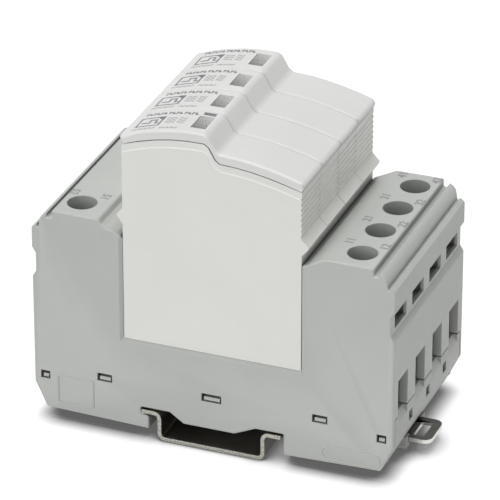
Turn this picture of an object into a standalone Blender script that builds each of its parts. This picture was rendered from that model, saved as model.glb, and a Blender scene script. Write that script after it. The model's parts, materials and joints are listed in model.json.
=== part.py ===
"""Pluggable four-pole surge arrester on a stub of top-hat rail.

X runs across the rail, from the earth tower (-X) to the line tower (+X).
Y runs along the rail, one module after the other. Z points away from the rail.
The origin is the centre of the rail's underside.
"""
import math

import bmesh
import bpy
from mathutils import Matrix, Vector

MM = 0.001

# Modules side by side along the rail
MODULES = 4
MODULE_PITCH = 12.0 * MM
END_WALL_EXTRA = 0.5 * MM
FIT_GAP = 0.3 * MM
CUT_OVERRUN = 1.0 * MM

# Top-hat rail
RAIL_WIDTH = 35.0 * MM
RAIL_FLANGE = 4.0 * MM
RAIL_HEIGHT = 7.5 * MM
RAIL_SHEET = 1.0 * MM
RAIL_BEND = 0.8 * MM
RAIL_OVERHANG = 0.5 * MM

# Underside of the base, with its seat on the rail
BASE_LENGTH = 90.0 * MM
BASE_BOTTOM = 2.3 * MM
BASE_END_RISE = 0.7 * MM
FOOT_CHAMFER = 3.0 * MM
FOOT_CHAMFER_HEIGHT = 6.4 * MM
HOOK_LIP = 1.6 * MM
HOOK_RAMP = 0.6 * MM
HOOK_SIDE_GAP = 0.4 * MM
LATCH_SIDE_GAP = 0.55 * MM
KEEL_DEPTH = 2.4 * MM
KEEL_HOOK_SIDE = (1.9 * MM, 5.4 * MM)
KEEL_LATCH_SIDE = (1.5 * MM, 6.8 * MM)

# Walls and levels of the base
BAY_FLOOR = 25.2 * MM
BAY_FLOOR_THICKNESS = 1.5 * MM
BAY_WALL = 1.8 * MM
SPLIT_DROP = 8.6 * MM
SIDE_WALL = 1.3 * MM
END_WALL = 2.0 * MM
PARTITION = 1.6 * MM
SEAT_ROOF = 1.8 * MM
TRAY_FLOOR_SHEET = 3.3 * MM
TRAY_BLOCK_REACH = 7.5 * MM
TRAY_FOOT_WALL = 0.8 * MM

# Terminal towers
TOWER_TOP = 55.6 * MM
SHOULDER_DROP = 5.1 * MM
SHOULDER_DEPTH = 5.3 * MM
LIP_WIDTH = 1.3 * MM
LIP_FALL = 1.0 * MM
GROOVE_WIDTH = 0.5 * MM
GROOVE_DEPTH = 0.8 * MM
BAR_WIDTH = 1.9 * MM
BAR_TOP_DROP = 0.8 * MM
BAR_CURVE = [(0.0, 0.0), (0.5, 0.28), (0.85, 0.75), (1.0, 1.45)]
BAR_GROOVE_WIDTH = 1.4 * MM
BAR_GROOVE_DROP = 2.0 * MM
RECESS_DROP = 5.3 * MM
RECESS_HEIGHT = 7.7 * MM
RECESS_DEPTH = 0.9 * MM
RECESS_SLOPE = 1.5 * MM
STRIP_SLOPE_LENGTH = 5.8 * MM
STRIP_SLOPE_DROP = 2.4 * MM
BAY_CHAMFER = (1.0 * MM, 0.4 * MM)
SCOOP_DEPTH = 4.3 * MM
SCOOP_CURVE = [(0.09, 0.21), (0.31, 0.37), (0.69, 0.49), (0.90, 0.70)]
BASE_EDGE_ROUND = 0.4 * MM

# Snap windows in the side walls: distance from the end, width, height below the split
SNAP_WINDOW_HEIGHT = 2.1 * MM
SNAP_MIDDLE = (5.0 * MM, 2.9 * MM)
SNAP_INNER = (18.0 * MM, 3.8 * MM, 2.8 * MM)
SNAP_OUTER = (2.8 * MM, 2.4 * MM, 4.9 * MM)
SNAP_PLAY = 0.4 * MM
SNAP_TONGUE = 1.2 * MM
SNAP_NOSE_SUNK = 0.35 * MM

# Terminals
TERMINAL_SHIFT = 1.2 * MM
ENTRY_WIDTH = 6.6 * MM
ENTRY_SILL = 0.2 * MM
ENTRY_HEIGHT = 9.5 * MM
FUNNEL_HEIGHT = 1.9 * MM
FUNNEL_DEPTH = 1.2 * MM
POCKET_WIDTH = 8.0 * MM
POCKET_DROP = 1.8 * MM
POCKET_HEIGHT = 3.6 * MM
POCKET_DEPTH = 4.4 * MM
POCKET_SHEET = 0.8 * MM
POCKET_UNDERCUT = 1.1 * MM
POCKET_LIP = 0.3 * MM
POCKET_FLOOR_FALL = 1.5 * MM
POCKET_WALLS = (4.9 * MM, 3.0 * MM)
THROAT_GAP = 1.4 * MM
END_SLOT_WIDTH = 2.4 * MM
END_SLOT_HEIGHT = 2.6 * MM
END_SLOT_DEPTH = 1.2 * MM
END_SLOT_DROP = 0.9 * MM
CLAMP_LENGTH = 7.0 * MM
CLAMP_WIDTH = 7.8 * MM
CLAMP_WALL = 0.8 * MM
CLAMP_SOLE = 1.6 * MM
CLAMP_BRIDGE = 2.2 * MM
CLAMP_MOUTH = 9.1 * MM
CLAMP_TRAVEL = 6.0 * MM
SCREW_RADIUS = 2.4 * MM
SCREW_HEAD_RADIUS = 3.3 * MM
SCREW_HEAD_HEIGHT = 3.0 * MM
SCREW_SLOT = (1.0 * MM, 1.2 * MM)
SCREW_CHAMFER = 0.5 * MM
HEAD_CHAMFER = 0.3 * MM
HEAD_GAP = 0.4 * MM
HEAD_ROOM = 0.95 * MM

# Copper parts
CONTACT_X = 12.0 * MM
CONTACT_WIDTH = 6.0 * MM
CONTACT_SHEET = 0.9 * MM
CONTACT_DROP = 2.3 * MM
TONGUE_RISE = 1.5 * MM
TONGUE_HEADROOM = 1.0 * MM
TONGUE_END = 0.6 * MM
TONGUE_RAMP = (1.6 * MM, 4.2 * MM)
FORK_GRIP = 0.25 * MM
FORK_FLARE = (0.8 * MM, 1.6 * MM)
FORK_FLOOR_GAP = 3.8 * MM
EARTH_BAR_INSET = 4.0 * MM
EARTH_BAR_BITE = 0.6 * MM
BLADE_SHEET = 0.8 * MM
BLADE_TIP_GAP = 1.0 * MM
BLADE_SLOT_GAP = 0.6 * MM

# Foot latch
LATCH_Y = -3.7 * MM
LATCH_WIDTH = 10.3 * MM
LATCH_SHEET = 1.0 * MM
LATCH_RAISE = 0.7 * MM
LATCH_REACH = 3.8 * MM
LATCH_CORNER = 2.0 * MM
LATCH_NOSE_HOLD = 1.7 * MM
LATCH_TRAVEL = 3.0 * MM
LATCH_EYE = (2.6 * MM, 6.7 * MM)
LATCH_RIM = 2.1 * MM
LATCH_LEDGE = 1.1 * MM
GUIDE_WIDTH = 2.2 * MM
GUIDE_ROOT = 2.0 * MM
GUIDE_INSET = 1.6 * MM
GUIDE_CROWN = 0.6 * MM
SPRING_RADIUS = 1.4 * MM
SPRING_WIRE = 0.25 * MM
SPRING_TURNS = 7
SPRING_INSET = 6.0 * MM
SPRING_PLAY = 0.6 * MM
SPRING_COVER_WALL = 1.0 * MM
SPRING_COVER_END = 1.8 * MM

# Plug outline
PLUG_LENGTH = 43.4 * MM
PLUG_SIDE_GAP = 0.5 * MM
PANEL_RISE = 0.12 * MM
PANEL_INSET = 0.3 * MM
PANEL_MARGIN = 2.4 * MM
PLUG_WALL = 1.2 * MM
PLUG_RISE = 26.2 * MM
DOME_X = -3.5 * MM
DOME_DROP = 4.0 * MM
DOME_FLAT = 1.8 * MM
DOME_EDGE = (1.0 * MM, 0.8 * MM)
STEP_X = 2.0 * MM
STEP_FALL = 4.5 * MM
STEP_EDGE = (1.1 * MM, 0.9 * MM)
SLOPE_DROP = 3.5 * MM
SLOPE_POWER = 1.8
CAP_LINE_STEPS = 5
CAP_THICKNESS = 2.2 * MM
CAP_OVERHANG = 1.0 * MM
CAP_FRONT_REACH = 0.4 * MM
CAP_NOSE = 0.6 * MM
CAP_EDGE_ROUND = 0.35 * MM
RIB_COUNT = 8
RIB_DEPTH = 0.32 * MM
RIB_MARGINS = (0.7 * MM, 0.5 * MM)
NUB_DROP = 0.4 * MM
NUB_HEIGHT = 4.2 * MM
EARTH_NUB = 1.4 * MM
LINE_NUB = 1.8 * MM
WINDOW_X = -4.3 * MM
WINDOW_SIZE = (3.6 * MM, 6.4 * MM)
WINDOW_SHEET = 0.8 * MM
WINDOW_SUNK = 0.6 * MM

# Inside a plug
VARISTOR_WIDTH = 30.0 * MM
VARISTOR_RAISE = 4.4 * MM
VARISTOR_HEADROOM = 22.2 * MM
VARISTOR_BACK_ROOM = 1.3 * MM
VARISTOR_FRONT_ROOM = 2.9 * MM
VARISTOR_EDGE = 1.2 * MM
BLADE_ROOT_RISE = 1.4 * MM
BLADE_FOOT = 3.0 * MM
TAB_SHEET = 0.6 * MM
TAB_OVERLAP = 1.0 * MM
LINE_TAB = (8.0 * MM, 18.0 * MM)
EARTH_TAB = (6.0 * MM, 8.5 * MM)
ARM_SHEET = 0.7 * MM
ARM_FOOT = (6.7 * MM, 2.2 * MM)
ARM_NECK = 2.4 * MM
ARM_FOOT_HEIGHT = 8.0 * MM
ARM_NECK_START = 20.0 * MM
ARM_HEADROOM = 2.6 * MM
FLAG_SIZE = (3.4 * MM, 5.2 * MM, 1.9 * MM)
DISCONNECT_RADIUS = 1.1 * MM
DISCONNECT_WIRE = 0.22 * MM
DISCONNECT_TURNS = 5
DISCONNECT_DROP = 7.0 * MM
POST_INSET = 9.0 * MM
POST_SIZE = (1.6 * MM, 3.0 * MM)

HALF_LENGTH = BASE_LENGTH / 2
BASE_WIDTH = MODULES * MODULE_PITCH + 2 * END_WALL_EXTRA
HALF_WIDTH = BASE_WIDTH / 2
HALF_PLUG = PLUG_LENGTH / 2
HALF_BAY = HALF_PLUG + PLUG_SIDE_GAP
MODULE_CENTRES = [(i - (MODULES - 1) / 2) * MODULE_PITCH for i in range(MODULES)]
EARTH_Y = MODULE_CENTRES[0]
CHAMBER_WIDTH = MODULE_PITCH - PARTITION
CHAMBER_INNER = HALF_BAY + BAY_WALL
INNER_HALF_WIDTH = HALF_WIDTH - SIDE_WALL
TRAY_HALF_WIDTH = INNER_HALF_WIDTH - FIT_GAP

RAIL_SEAT = RAIL_HEIGHT + FIT_GAP
FLANGE_UNDERSIDE = RAIL_HEIGHT - RAIL_SHEET
LATCH_WALL = RAIL_WIDTH / 2 + LATCH_SIDE_GAP
LATCH_UNDERSIDE = BASE_BOTTOM + LATCH_RAISE
LATCH_TOP = LATCH_UNDERSIDE + LATCH_SHEET
FOOT_CHAMFER_TOP = BASE_BOTTOM + BASE_END_RISE + FOOT_CHAMFER_HEIGHT
TRAY_FLOOR = BASE_BOTTOM + TRAY_FLOOR_SHEET
TRAY_BLOCK_TOP = RAIL_SEAT + SEAT_ROOF
TRAY_BLOCK_HALF = RAIL_WIDTH / 2 + TRAY_BLOCK_REACH
SPLIT_HEIGHT = BAY_FLOOR - SPLIT_DROP
TRAY_TOP = SPLIT_HEIGHT - FIT_GAP

STRIP_INNER = HALF_BAY + STRIP_SLOPE_LENGTH
STRIP_OUTER = HALF_LENGTH - SHOULDER_DEPTH
SHOULDER_HEIGHT = TOWER_TOP - SHOULDER_DROP
RECESS_HIGH = SHOULDER_HEIGHT - RECESS_DROP
RECESS_LOW = RECESS_HIGH - RECESS_HEIGHT
POCKET_HIGH = RECESS_HIGH - POCKET_DROP
POCKET_LOW = POCKET_HIGH - POCKET_HEIGHT
POCKET_SHEET_BACK = HALF_LENGTH - RECESS_DEPTH - POCKET_SHEET

TERMINAL_X = (CHAMBER_INNER + HALF_LENGTH - END_WALL) / 2 + TERMINAL_SHIFT
ACCESS_RADIUS = SCREW_HEAD_RADIUS + FIT_GAP
ENTRY_LOW = SPLIT_HEIGHT - ENTRY_SILL
ENTRY_HIGH = ENTRY_LOW + ENTRY_HEIGHT
FUNNEL_LOW = ENTRY_LOW - FUNNEL_HEIGHT
CONTACT_LEVEL = BAY_FLOOR - CONTACT_DROP
TONGUE_LEVEL = ENTRY_HIGH + TONGUE_RISE
CLAMP_FLOOR = TONGUE_LEVEL - CLAMP_MOUTH
CLAMP_ROOF = TONGUE_LEVEL + CONTACT_SHEET / 2 + TONGUE_HEADROOM
CLAMP_TOP = CLAMP_ROOF + CLAMP_BRIDGE
SCREW_TIP = TONGUE_LEVEL + CONTACT_SHEET / 2 + FIT_GAP
HEAD_LOW = CLAMP_TOP + CLAMP_TRAVEL + HEAD_GAP
HEAD_HIGH = HEAD_LOW + SCREW_HEAD_HEIGHT
CHAMBER_TOP = HEAD_HIGH + HEAD_ROOM
FORK_BOTTOM = TRAY_BLOCK_TOP + FORK_FLOOR_GAP
BLADE_TIP = FORK_BOTTOM + BLADE_TIP_GAP
BAR_INNER = -CONTACT_X - EARTH_BAR_INSET
BAR_OUTER = -CHAMBER_INNER + EARTH_BAR_BITE

PLUG_WIDTH = MODULE_PITCH - FIT_GAP
PLUG_BODY_WIDTH = PLUG_WIDTH - 2 * PANEL_RISE
PLUG_INNER_HALF = PLUG_BODY_WIDTH / 2 - PLUG_WALL
PLUG_BOTTOM = BAY_FLOOR + FIT_GAP
DOME_TOP = TOWER_TOP + PLUG_RISE
STEP_TOP = DOME_TOP - STEP_FALL
CAP_DEPTH = CAP_THICKNESS + FIT_GAP
NUB_LOW = TOWER_TOP - NUB_DROP
VARISTOR_BASE = BAY_FLOOR + VARISTOR_RAISE
VARISTOR_TOP = DOME_TOP - VARISTOR_HEADROOM

COLLECTION_NAME = "din_rail_surge_arrester"


def snap_windows():
    """Centre in X, width and centre height of each snap window of a side wall."""
    windows = [(0.0, SNAP_MIDDLE[0], SPLIT_HEIGHT - SNAP_MIDDLE[1])]
    for inset, width, drop in (SNAP_INNER, SNAP_OUTER):
        for side in (1, -1):
            windows.append((side * (HALF_LENGTH - inset), width, SPLIT_HEIGHT - drop))
    return windows


def clear_scene():
    for item in list(bpy.data.objects):
        bpy.data.objects.remove(item, do_unlink=True)


def new_collection(name):
    collection = bpy.data.collections.new(name)
    bpy.context.scene.collection.children.link(collection)
    return collection


def principled(name, colour, roughness, metallic=0.0, alpha=1.0):
    material = bpy.data.materials.new(name)
    material.use_nodes = True
    shader = material.node_tree.nodes["Principled BSDF"]
    shader.inputs["Base Color"].default_value = (*colour, 1.0)
    shader.inputs["Roughness"].default_value = roughness
    shader.inputs["Metallic"].default_value = metallic
    shader.inputs["Alpha"].default_value = alpha
    return material


def mesh_object(name, mesh, location, collection):
    item = bpy.data.objects.new(name, mesh)
    item.location = location
    collection.objects.link(item)
    return item


def mark_as_cutter(item):
    item.hide_render = True
    item.display_type = "WIRE"
    return item


def box_mesh(name, size):
    mesh = bpy.data.meshes.new(name)
    shape = bmesh.new()
    bmesh.ops.create_cube(shape, size=1.0)
    bmesh.ops.scale(shape, vec=Vector(size), verts=shape.verts)
    shape.to_mesh(mesh)
    shape.free()
    return mesh


def box(name, low, high, collection):
    """A box between two corners, with its origin at its centre."""
    size = [b - a for a, b in zip(low, high)]
    centre = [(a + b) / 2 for a, b in zip(low, high)]
    return mesh_object(name, box_mesh(name, size), centre, collection)


def cylinder(name, radius, low, high, centre_xy, collection, segments=24):
    """An upright cylinder between two heights, with its origin at its centre."""
    mesh = bpy.data.meshes.new(name)
    shape = bmesh.new()
    bmesh.ops.create_cone(
        shape, cap_ends=True, segments=segments, radius1=radius, radius2=radius, depth=high - low
    )
    shape.to_mesh(mesh)
    shape.free()
    return mesh_object(name, mesh, (*centre_xy, (low + high) / 2), collection)


def weld(mesh):
    shape = bmesh.new()
    shape.from_mesh(mesh)
    bmesh.ops.remove_doubles(shape, verts=shape.verts, dist=1e-6)
    bmesh.ops.dissolve_limit(
        shape, angle_limit=math.radians(0.5), verts=shape.verts, edges=shape.edges
    )
    bmesh.ops.recalc_face_normals(shape, faces=shape.faces)
    shape.to_mesh(mesh)
    shape.free()


def curve_to_mesh(name, curve_object, collection):
    """Turn a curve object into a welded mesh object in the same place."""
    bpy.context.view_layer.update()
    evaluated = curve_object.evaluated_get(bpy.context.evaluated_depsgraph_get())
    mesh = bpy.data.meshes.new_from_object(evaluated)
    mesh.name = name
    weld(mesh)
    item = bpy.data.objects.new(name, mesh)
    item.matrix_world = curve_object.matrix_world
    collection.objects.link(item)
    bpy.data.objects.remove(curve_object, do_unlink=True)
    return item


def outline_object(name, outline, thickness, matrix, collection):
    """A closed outline extruded to both sides of its plane, placed by a matrix."""
    curve = bpy.data.curves.new(name, "CURVE")
    curve.dimensions = "2D"
    curve.fill_mode = "BOTH"
    curve.extrude = thickness / 2
    spline = curve.splines.new("POLY")
    spline.points.add(len(outline) - 1)
    for point, (u, v) in zip(spline.points, outline):
        point.co = (u, v, 0.0, 1.0)
    spline.use_cyclic_u = True
    curve_object = bpy.data.objects.new(name + "_outline", curve)
    curve_object.matrix_world = matrix
    collection.objects.link(curve_object)
    return curve_to_mesh(name, curve_object, collection)


def side_profile(name, outline, width, y, collection):
    """An outline in X and Z, extruded along Y to both sides of y."""
    matrix = Matrix.Translation((0.0, y, 0.0)) @ Matrix.Rotation(math.pi / 2, 4, "X")
    return outline_object(name, outline, width, matrix, collection)


def plan_profile(name, outline, low, high, collection):
    """An outline in X and Y, extruded from one height to another."""
    matrix = Matrix.Translation((0.0, 0.0, (low + high) / 2))
    return outline_object(name, outline, high - low, matrix, collection)


def boolean(item, other, operation):
    modifier = item.modifiers.new(operation.lower() + "_" + other.name, "BOOLEAN")
    modifier.operation = operation
    modifier.solver = "EXACT"
    modifier.object = mark_as_cutter(other)


def cut(item, *cutters):
    for cutter in cutters:
        boolean(item, cutter, "DIFFERENCE")


def join(item, *others):
    for other in others:
        boolean(item, other, "UNION")


def round_edges(item, width, segments=2):
    modifier = item.modifiers.new("rounded_edges", "BEVEL")
    modifier.width = width
    modifier.segments = segments
    modifier.limit_method = "ANGLE"
    modifier.angle_limit = math.radians(35)


def shade_round(item, angle=35):
    item.data.shade_smooth()
    item.data.set_sharp_from_angle(angle=math.radians(angle))


def arc(centre_u, centre_v, radius, start, end, steps):
    """Points of an arc, angles in degrees."""
    points = []
    for i in range(steps + 1):
        angle = math.radians(start + (end - start) * i / steps)
        points.append((centre_u + radius * math.cos(angle), centre_v + radius * math.sin(angle)))
    return points


def mirrored(points):
    return [(-u, v) for u, v in reversed(points)]


def strip_outline(path, thickness):
    """The outline of a bent strip of even thickness along a path."""
    left = []
    right = []
    for i, (u, v) in enumerate(path):
        before = Vector(path[max(i - 1, 0)])
        after = Vector(path[min(i + 1, len(path) - 1)])
        here = Vector((u, v))
        into = (here - before).normalized() if i > 0 else (after - here).normalized()
        out = (after - here).normalized() if i < len(path) - 1 else into
        normal = Vector((-(into.y + out.y), into.x + out.x)).normalized()
        reach = thickness / 2 / max(normal.dot(Vector((-into.y, into.x))), 0.5)
        left.append(tuple(here + normal * reach))
        right.append(tuple(here - normal * reach))
    return left + right[::-1]


def base_underside():
    """The underside with the rail seat, from the earth end to the line end."""
    flange = RAIL_WIDTH / 2
    hook_wall = -flange - HOOK_SIDE_GAP
    lip = flange - HOOK_LIP
    channel = flange - RAIL_FLANGE - RAIL_SHEET
    keel = RAIL_SEAT - KEEL_DEPTH
    hook_top = FLANGE_UNDERSIDE - FIT_GAP
    end_bottom = BASE_BOTTOM + BASE_END_RISE
    return [
        (-HALF_LENGTH, FOOT_CHAMFER_TOP),
        (-HALF_LENGTH + FOOT_CHAMFER, end_bottom),
        (-lip, BASE_BOTTOM),
        (-lip, hook_top - HOOK_RAMP),
        (hook_wall, hook_top),
        (hook_wall, RAIL_SEAT),
        (-channel + KEEL_HOOK_SIDE[0], RAIL_SEAT),
        (-channel + KEEL_HOOK_SIDE[1], keel),
        (channel - KEEL_LATCH_SIDE[1], keel),
        (channel - KEEL_LATCH_SIDE[0], RAIL_SEAT),
        (LATCH_WALL, RAIL_SEAT),
        (LATCH_WALL, BASE_BOTTOM),
        (HALF_LENGTH - FOOT_CHAMFER, end_bottom),
        (HALF_LENGTH, FOOT_CHAMFER_TOP),
    ]


def tower_end():
    """The end face and stepped shoulder of a tower at +X, from below to the marking strip."""
    face = HALF_LENGTH - RECESS_DEPTH
    lip = HALF_LENGTH - LIP_WIDTH
    bar_start = STRIP_OUTER + BAR_GROOVE_WIDTH
    bar_top = TOWER_TOP - BAR_TOP_DROP
    bar = [(bar_start + u * BAR_WIDTH, bar_top - v * BAR_WIDTH) for u, v in reversed(BAR_CURVE)]
    return [
        (HALF_LENGTH, RECESS_LOW),
        (face, RECESS_LOW + RECESS_SLOPE),
        (face, RECESS_HIGH - RECESS_SLOPE),
        (HALF_LENGTH, RECESS_HIGH),
        (HALF_LENGTH, SHOULDER_HEIGHT),
        (lip, SHOULDER_HEIGHT + LIP_FALL),
        (lip, SHOULDER_HEIGHT + LIP_FALL - GROOVE_DEPTH),
        (lip - GROOVE_WIDTH, SHOULDER_HEIGHT + LIP_FALL - GROOVE_DEPTH),
        *bar,
        (bar_start, TOWER_TOP - BAR_GROOVE_DROP),
        (STRIP_OUTER, TOWER_TOP - BAR_GROOVE_DROP),
        (STRIP_OUTER, TOWER_TOP),
    ]


def line_side_slope():
    """From the marking strip of the line tower down to the plug bay."""
    foot = TOWER_TOP - STRIP_SLOPE_DROP
    return [
        (STRIP_INNER, TOWER_TOP),
        (HALF_BAY + BAY_CHAMFER[0], foot),
        (HALF_BAY, foot - BAY_CHAMFER[1]),
        (HALF_BAY, BAY_FLOOR),
    ]


def earth_side_scoop():
    """From the plug bay up through the finger scoop to the marking strip of the earth tower."""
    rim = TOWER_TOP - SCOOP_DEPTH
    hollow = [(-HALF_BAY - u * STRIP_SLOPE_LENGTH, rim + v * SCOOP_DEPTH) for u, v in SCOOP_CURVE]
    return [
        (-HALF_BAY, BAY_FLOOR),
        (-HALF_BAY, rim),
        *hollow,
        (-STRIP_INNER, TOWER_TOP),
    ]


def base_outline():
    return [
        *base_underside(),
        *tower_end(),
        *line_side_slope(),
        *earth_side_scoop(),
        *mirrored(tower_end()),
    ]


def chamber_outline(side):
    """The hollow of one terminal chamber, side is +1 or -1."""
    outer = HALF_LENGTH - END_WALL
    throat = TERMINAL_X + SCREW_HEAD_RADIUS + THROAT_GAP
    low = SPLIT_HEIGHT - CUT_OVERRUN
    points = [
        (CHAMBER_INNER, low),
        (outer, low),
        (outer, POCKET_LOW - POCKET_WALLS[0]),
        (throat, POCKET_LOW - POCKET_WALLS[1]),
        (throat, CHAMBER_TOP),
        (CHAMBER_INNER, CHAMBER_TOP),
    ]
    return [(side * u, v) for u, v in points]


def comb_hollow_outline(side):
    """The hollow behind a comb pocket's opening, whose floor falls inwards."""
    back = HALF_LENGTH - POCKET_DEPTH
    points = [
        (POCKET_SHEET_BACK, POCKET_LOW - POCKET_LIP),
        (back, POCKET_LOW - POCKET_FLOOR_FALL),
        (back, POCKET_HIGH + POCKET_LIP),
        (POCKET_SHEET_BACK, POCKET_HIGH + POCKET_LIP),
    ]
    return [(side * u, v) for u, v in points]


def terminal_places():
    """Side and module centre of each terminal: the line terminals, then the earth terminal."""
    places = [(1, y) for y in MODULE_CENTRES]
    places.append((-1, EARTH_Y))
    return places


def sided_box(name, side, near_x, far_x, y_ends, z_ends, cutters):
    """A box between two distances from the middle, on the side +1 or -1."""
    x_ends = sorted((side * near_x, side * far_x))
    return box(name, (x_ends[0], y_ends[0], z_ends[0]), (x_ends[1], y_ends[1], z_ends[1]), cutters)


def make_base_housing(parts, cutters, material):
    housing = side_profile("base_housing", base_outline(), BASE_WIDTH, 0.0, parts)
    housing.data.materials.append(material)
    round_edges(housing, BASE_EDGE_ROUND, 1)
    outside = HALF_LENGTH + CUT_OVERRUN
    cut(housing, box(
        "tray_space",
        (-outside, -INNER_HALF_WIDTH, -CUT_OVERRUN),
        (outside, INNER_HALF_WIDTH, SPLIT_HEIGHT),
        cutters,
    ))
    under_bay = CHAMBER_INNER + FIT_GAP
    cut(housing, box(
        "space_under_bay",
        (-under_bay, -INNER_HALF_WIDTH, SPLIT_HEIGHT - CUT_OVERRUN),
        (under_bay, INNER_HALF_WIDTH, BAY_FLOOR - BAY_FLOOR_THICKNESS),
        cutters,
    ))
    for side, label in ((1, "line"), (-1, "earth")):
        for i, y in enumerate(MODULE_CENTRES):
            name = f"{label}_chamber_{i + 1}"
            cut(housing, side_profile(name, chamber_outline(side), CHAMBER_WIDTH, y, cutters))
    for i, (side, y) in enumerate(terminal_places()):
        cut_terminal(housing, i + 1, side, y, cutters)
    cut_snap_windows(housing, cutters)
    cut_blade_slots(housing, cutters)
    return housing


def cut_terminal(housing, number, side, y, cutters):
    """The wire entry, the comb pocket above it and the screw access of one terminal."""
    half = ENTRY_WIDTH / 2
    half_pocket = POCKET_WIDTH / 2
    outside = HALF_LENGTH + CUT_OVERRUN
    hollow_width = POCKET_WIDTH + 2 * POCKET_UNDERCUT
    cut(
        housing,
        sided_box(
            f"wire_entry_{number}", side, HALF_LENGTH - 2 * END_WALL, outside,
            (y - half, y + half), (SPLIT_HEIGHT - CUT_OVERRUN, ENTRY_HIGH), cutters,
        ),
        side_profile(f"comb_hollow_{number}", comb_hollow_outline(side), hollow_width, y, cutters),
        sided_box(
            f"comb_pocket_{number}", side, POCKET_SHEET_BACK - POCKET_SHEET, outside,
            (y - half_pocket, y + half_pocket), (POCKET_LOW, POCKET_HIGH), cutters,
        ),
        cylinder(
            f"screw_access_{number}", ACCESS_RADIUS, CHAMBER_TOP - CUT_OVERRUN,
            TOWER_TOP + CUT_OVERRUN, (side * TERMINAL_X, y), cutters,
        ),
    )


def cut_snap_windows(housing, cutters):
    outside = HALF_WIDTH + CUT_OVERRUN
    half_height = SNAP_WINDOW_HEIGHT / 2
    for i, (x, width, height) in enumerate(snap_windows()):
        cut(housing, box(
            f"snap_window_{i + 1}",
            (x - width / 2, -outside, height - half_height),
            (x + width / 2, outside, height + half_height),
            cutters,
        ))


def cut_blade_slots(housing, cutters):
    slot_x = BLADE_SHEET / 2 + BLADE_SLOT_GAP
    slot_y = CONTACT_WIDTH / 2 + FIT_GAP
    for i, y in enumerate(MODULE_CENTRES):
        for side, label in ((1, "line"), (-1, "earth")):
            cut(housing, sided_box(
                f"{label}_blade_slot_{i + 1}", side, CONTACT_X - slot_x, CONTACT_X + slot_x,
                (y - slot_y, y + slot_y),
                (BAY_FLOOR - 2 * BAY_FLOOR_THICKNESS, BAY_FLOOR + CUT_OVERRUN), cutters,
            ))


def tray_outline():
    outer = HALF_LENGTH - END_WALL
    inner_right = [
        (HALF_LENGTH, TRAY_TOP),
        (outer, TRAY_TOP),
        (outer, FOOT_CHAMFER_TOP + TRAY_FOOT_WALL / 2),
        (HALF_LENGTH - FOOT_CHAMFER - TRAY_FOOT_WALL, TRAY_FLOOR),
        (TRAY_BLOCK_HALF, TRAY_FLOOR),
        (TRAY_BLOCK_HALF, TRAY_BLOCK_TOP),
    ]
    return [*base_underside(), *inner_right, *mirrored(inner_right)]


def funnel_outline(side):
    """The notch and slope in the tray's end wall below a wire entry."""
    outside = HALF_LENGTH + CUT_OVERRUN
    inside = HALF_LENGTH - 2 * END_WALL
    slope = (ENTRY_LOW - FUNNEL_LOW) / FUNNEL_DEPTH
    points = [
        (inside, ENTRY_LOW),
        (HALF_LENGTH - FUNNEL_DEPTH, ENTRY_LOW),
        (outside, FUNNEL_LOW - slope * CUT_OVERRUN),
        (outside, SPLIT_HEIGHT + CUT_OVERRUN),
        (inside, SPLIT_HEIGHT + CUT_OVERRUN),
    ]
    return [(side * u, v) for u, v in points]


def make_base_tray(parts, cutters, material):
    tray = side_profile("base_tray", tray_outline(), 2 * TRAY_HALF_WIDTH, 0.0, parts)
    tray.data.materials.append(material)
    for i, (side, y) in enumerate(terminal_places()):
        name = f"entry_funnel_{i + 1}"
        cut(tray, side_profile(name, funnel_outline(side), ENTRY_WIDTH, y, cutters))
    slot_top = FUNNEL_LOW - END_SLOT_DROP
    for i in range(MODULES - 1):
        y = (MODULE_CENTRES[i] + MODULE_CENTRES[i + 1]) / 2
        for side, label in ((1, "line"), (-1, "earth")):
            cut(tray, sided_box(
                f"end_slot_{label}_{i + 1}", side, HALF_LENGTH - END_SLOT_DEPTH,
                HALF_LENGTH + CUT_OVERRUN, (y - END_SLOT_WIDTH / 2, y + END_SLOT_WIDTH / 2),
                (slot_top - END_SLOT_HEIGHT, slot_top), cutters,
            ))
    add_snap_catches(tray, cutters)
    add_latch_guide(tray, cutters)
    return tray


def add_snap_catches(tray, cutters):
    """Upright tongues along the side walls whose noses stand in the housing's windows."""
    half_height = SNAP_WINDOW_HEIGHT / 2 - FIT_GAP
    wall = TRAY_HALF_WIDTH - FIT_GAP / 10
    tip = HALF_WIDTH - SNAP_NOSE_SUNK
    for i, (x, width, height) in enumerate(snap_windows()):
        half = width / 2 - SNAP_PLAY
        ground = TRAY_FLOOR if abs(x) > TRAY_BLOCK_HALF else TRAY_BLOCK_TOP
        for side, label in ((-1, "near"), (1, "far")):
            root = sorted((side * wall, side * (wall - SNAP_TONGUE)))
            join(tray, box(
                f"catch_tongue_{label}_{i + 1}",
                (x - half, root[0], ground - CUT_OVERRUN),
                (x + half, root[1], height + SNAP_WINDOW_HEIGHT),
                cutters,
            ))
            nose = sorted((side * (wall - SNAP_TONGUE / 2), side * tip))
            join(tray, box(
                f"catch_nose_{label}_{i + 1}",
                (x - half + SNAP_PLAY / 4, nose[0], height - half_height),
                (x + half - SNAP_PLAY / 4, nose[1], height + half_height),
                cutters,
            ))


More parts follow.
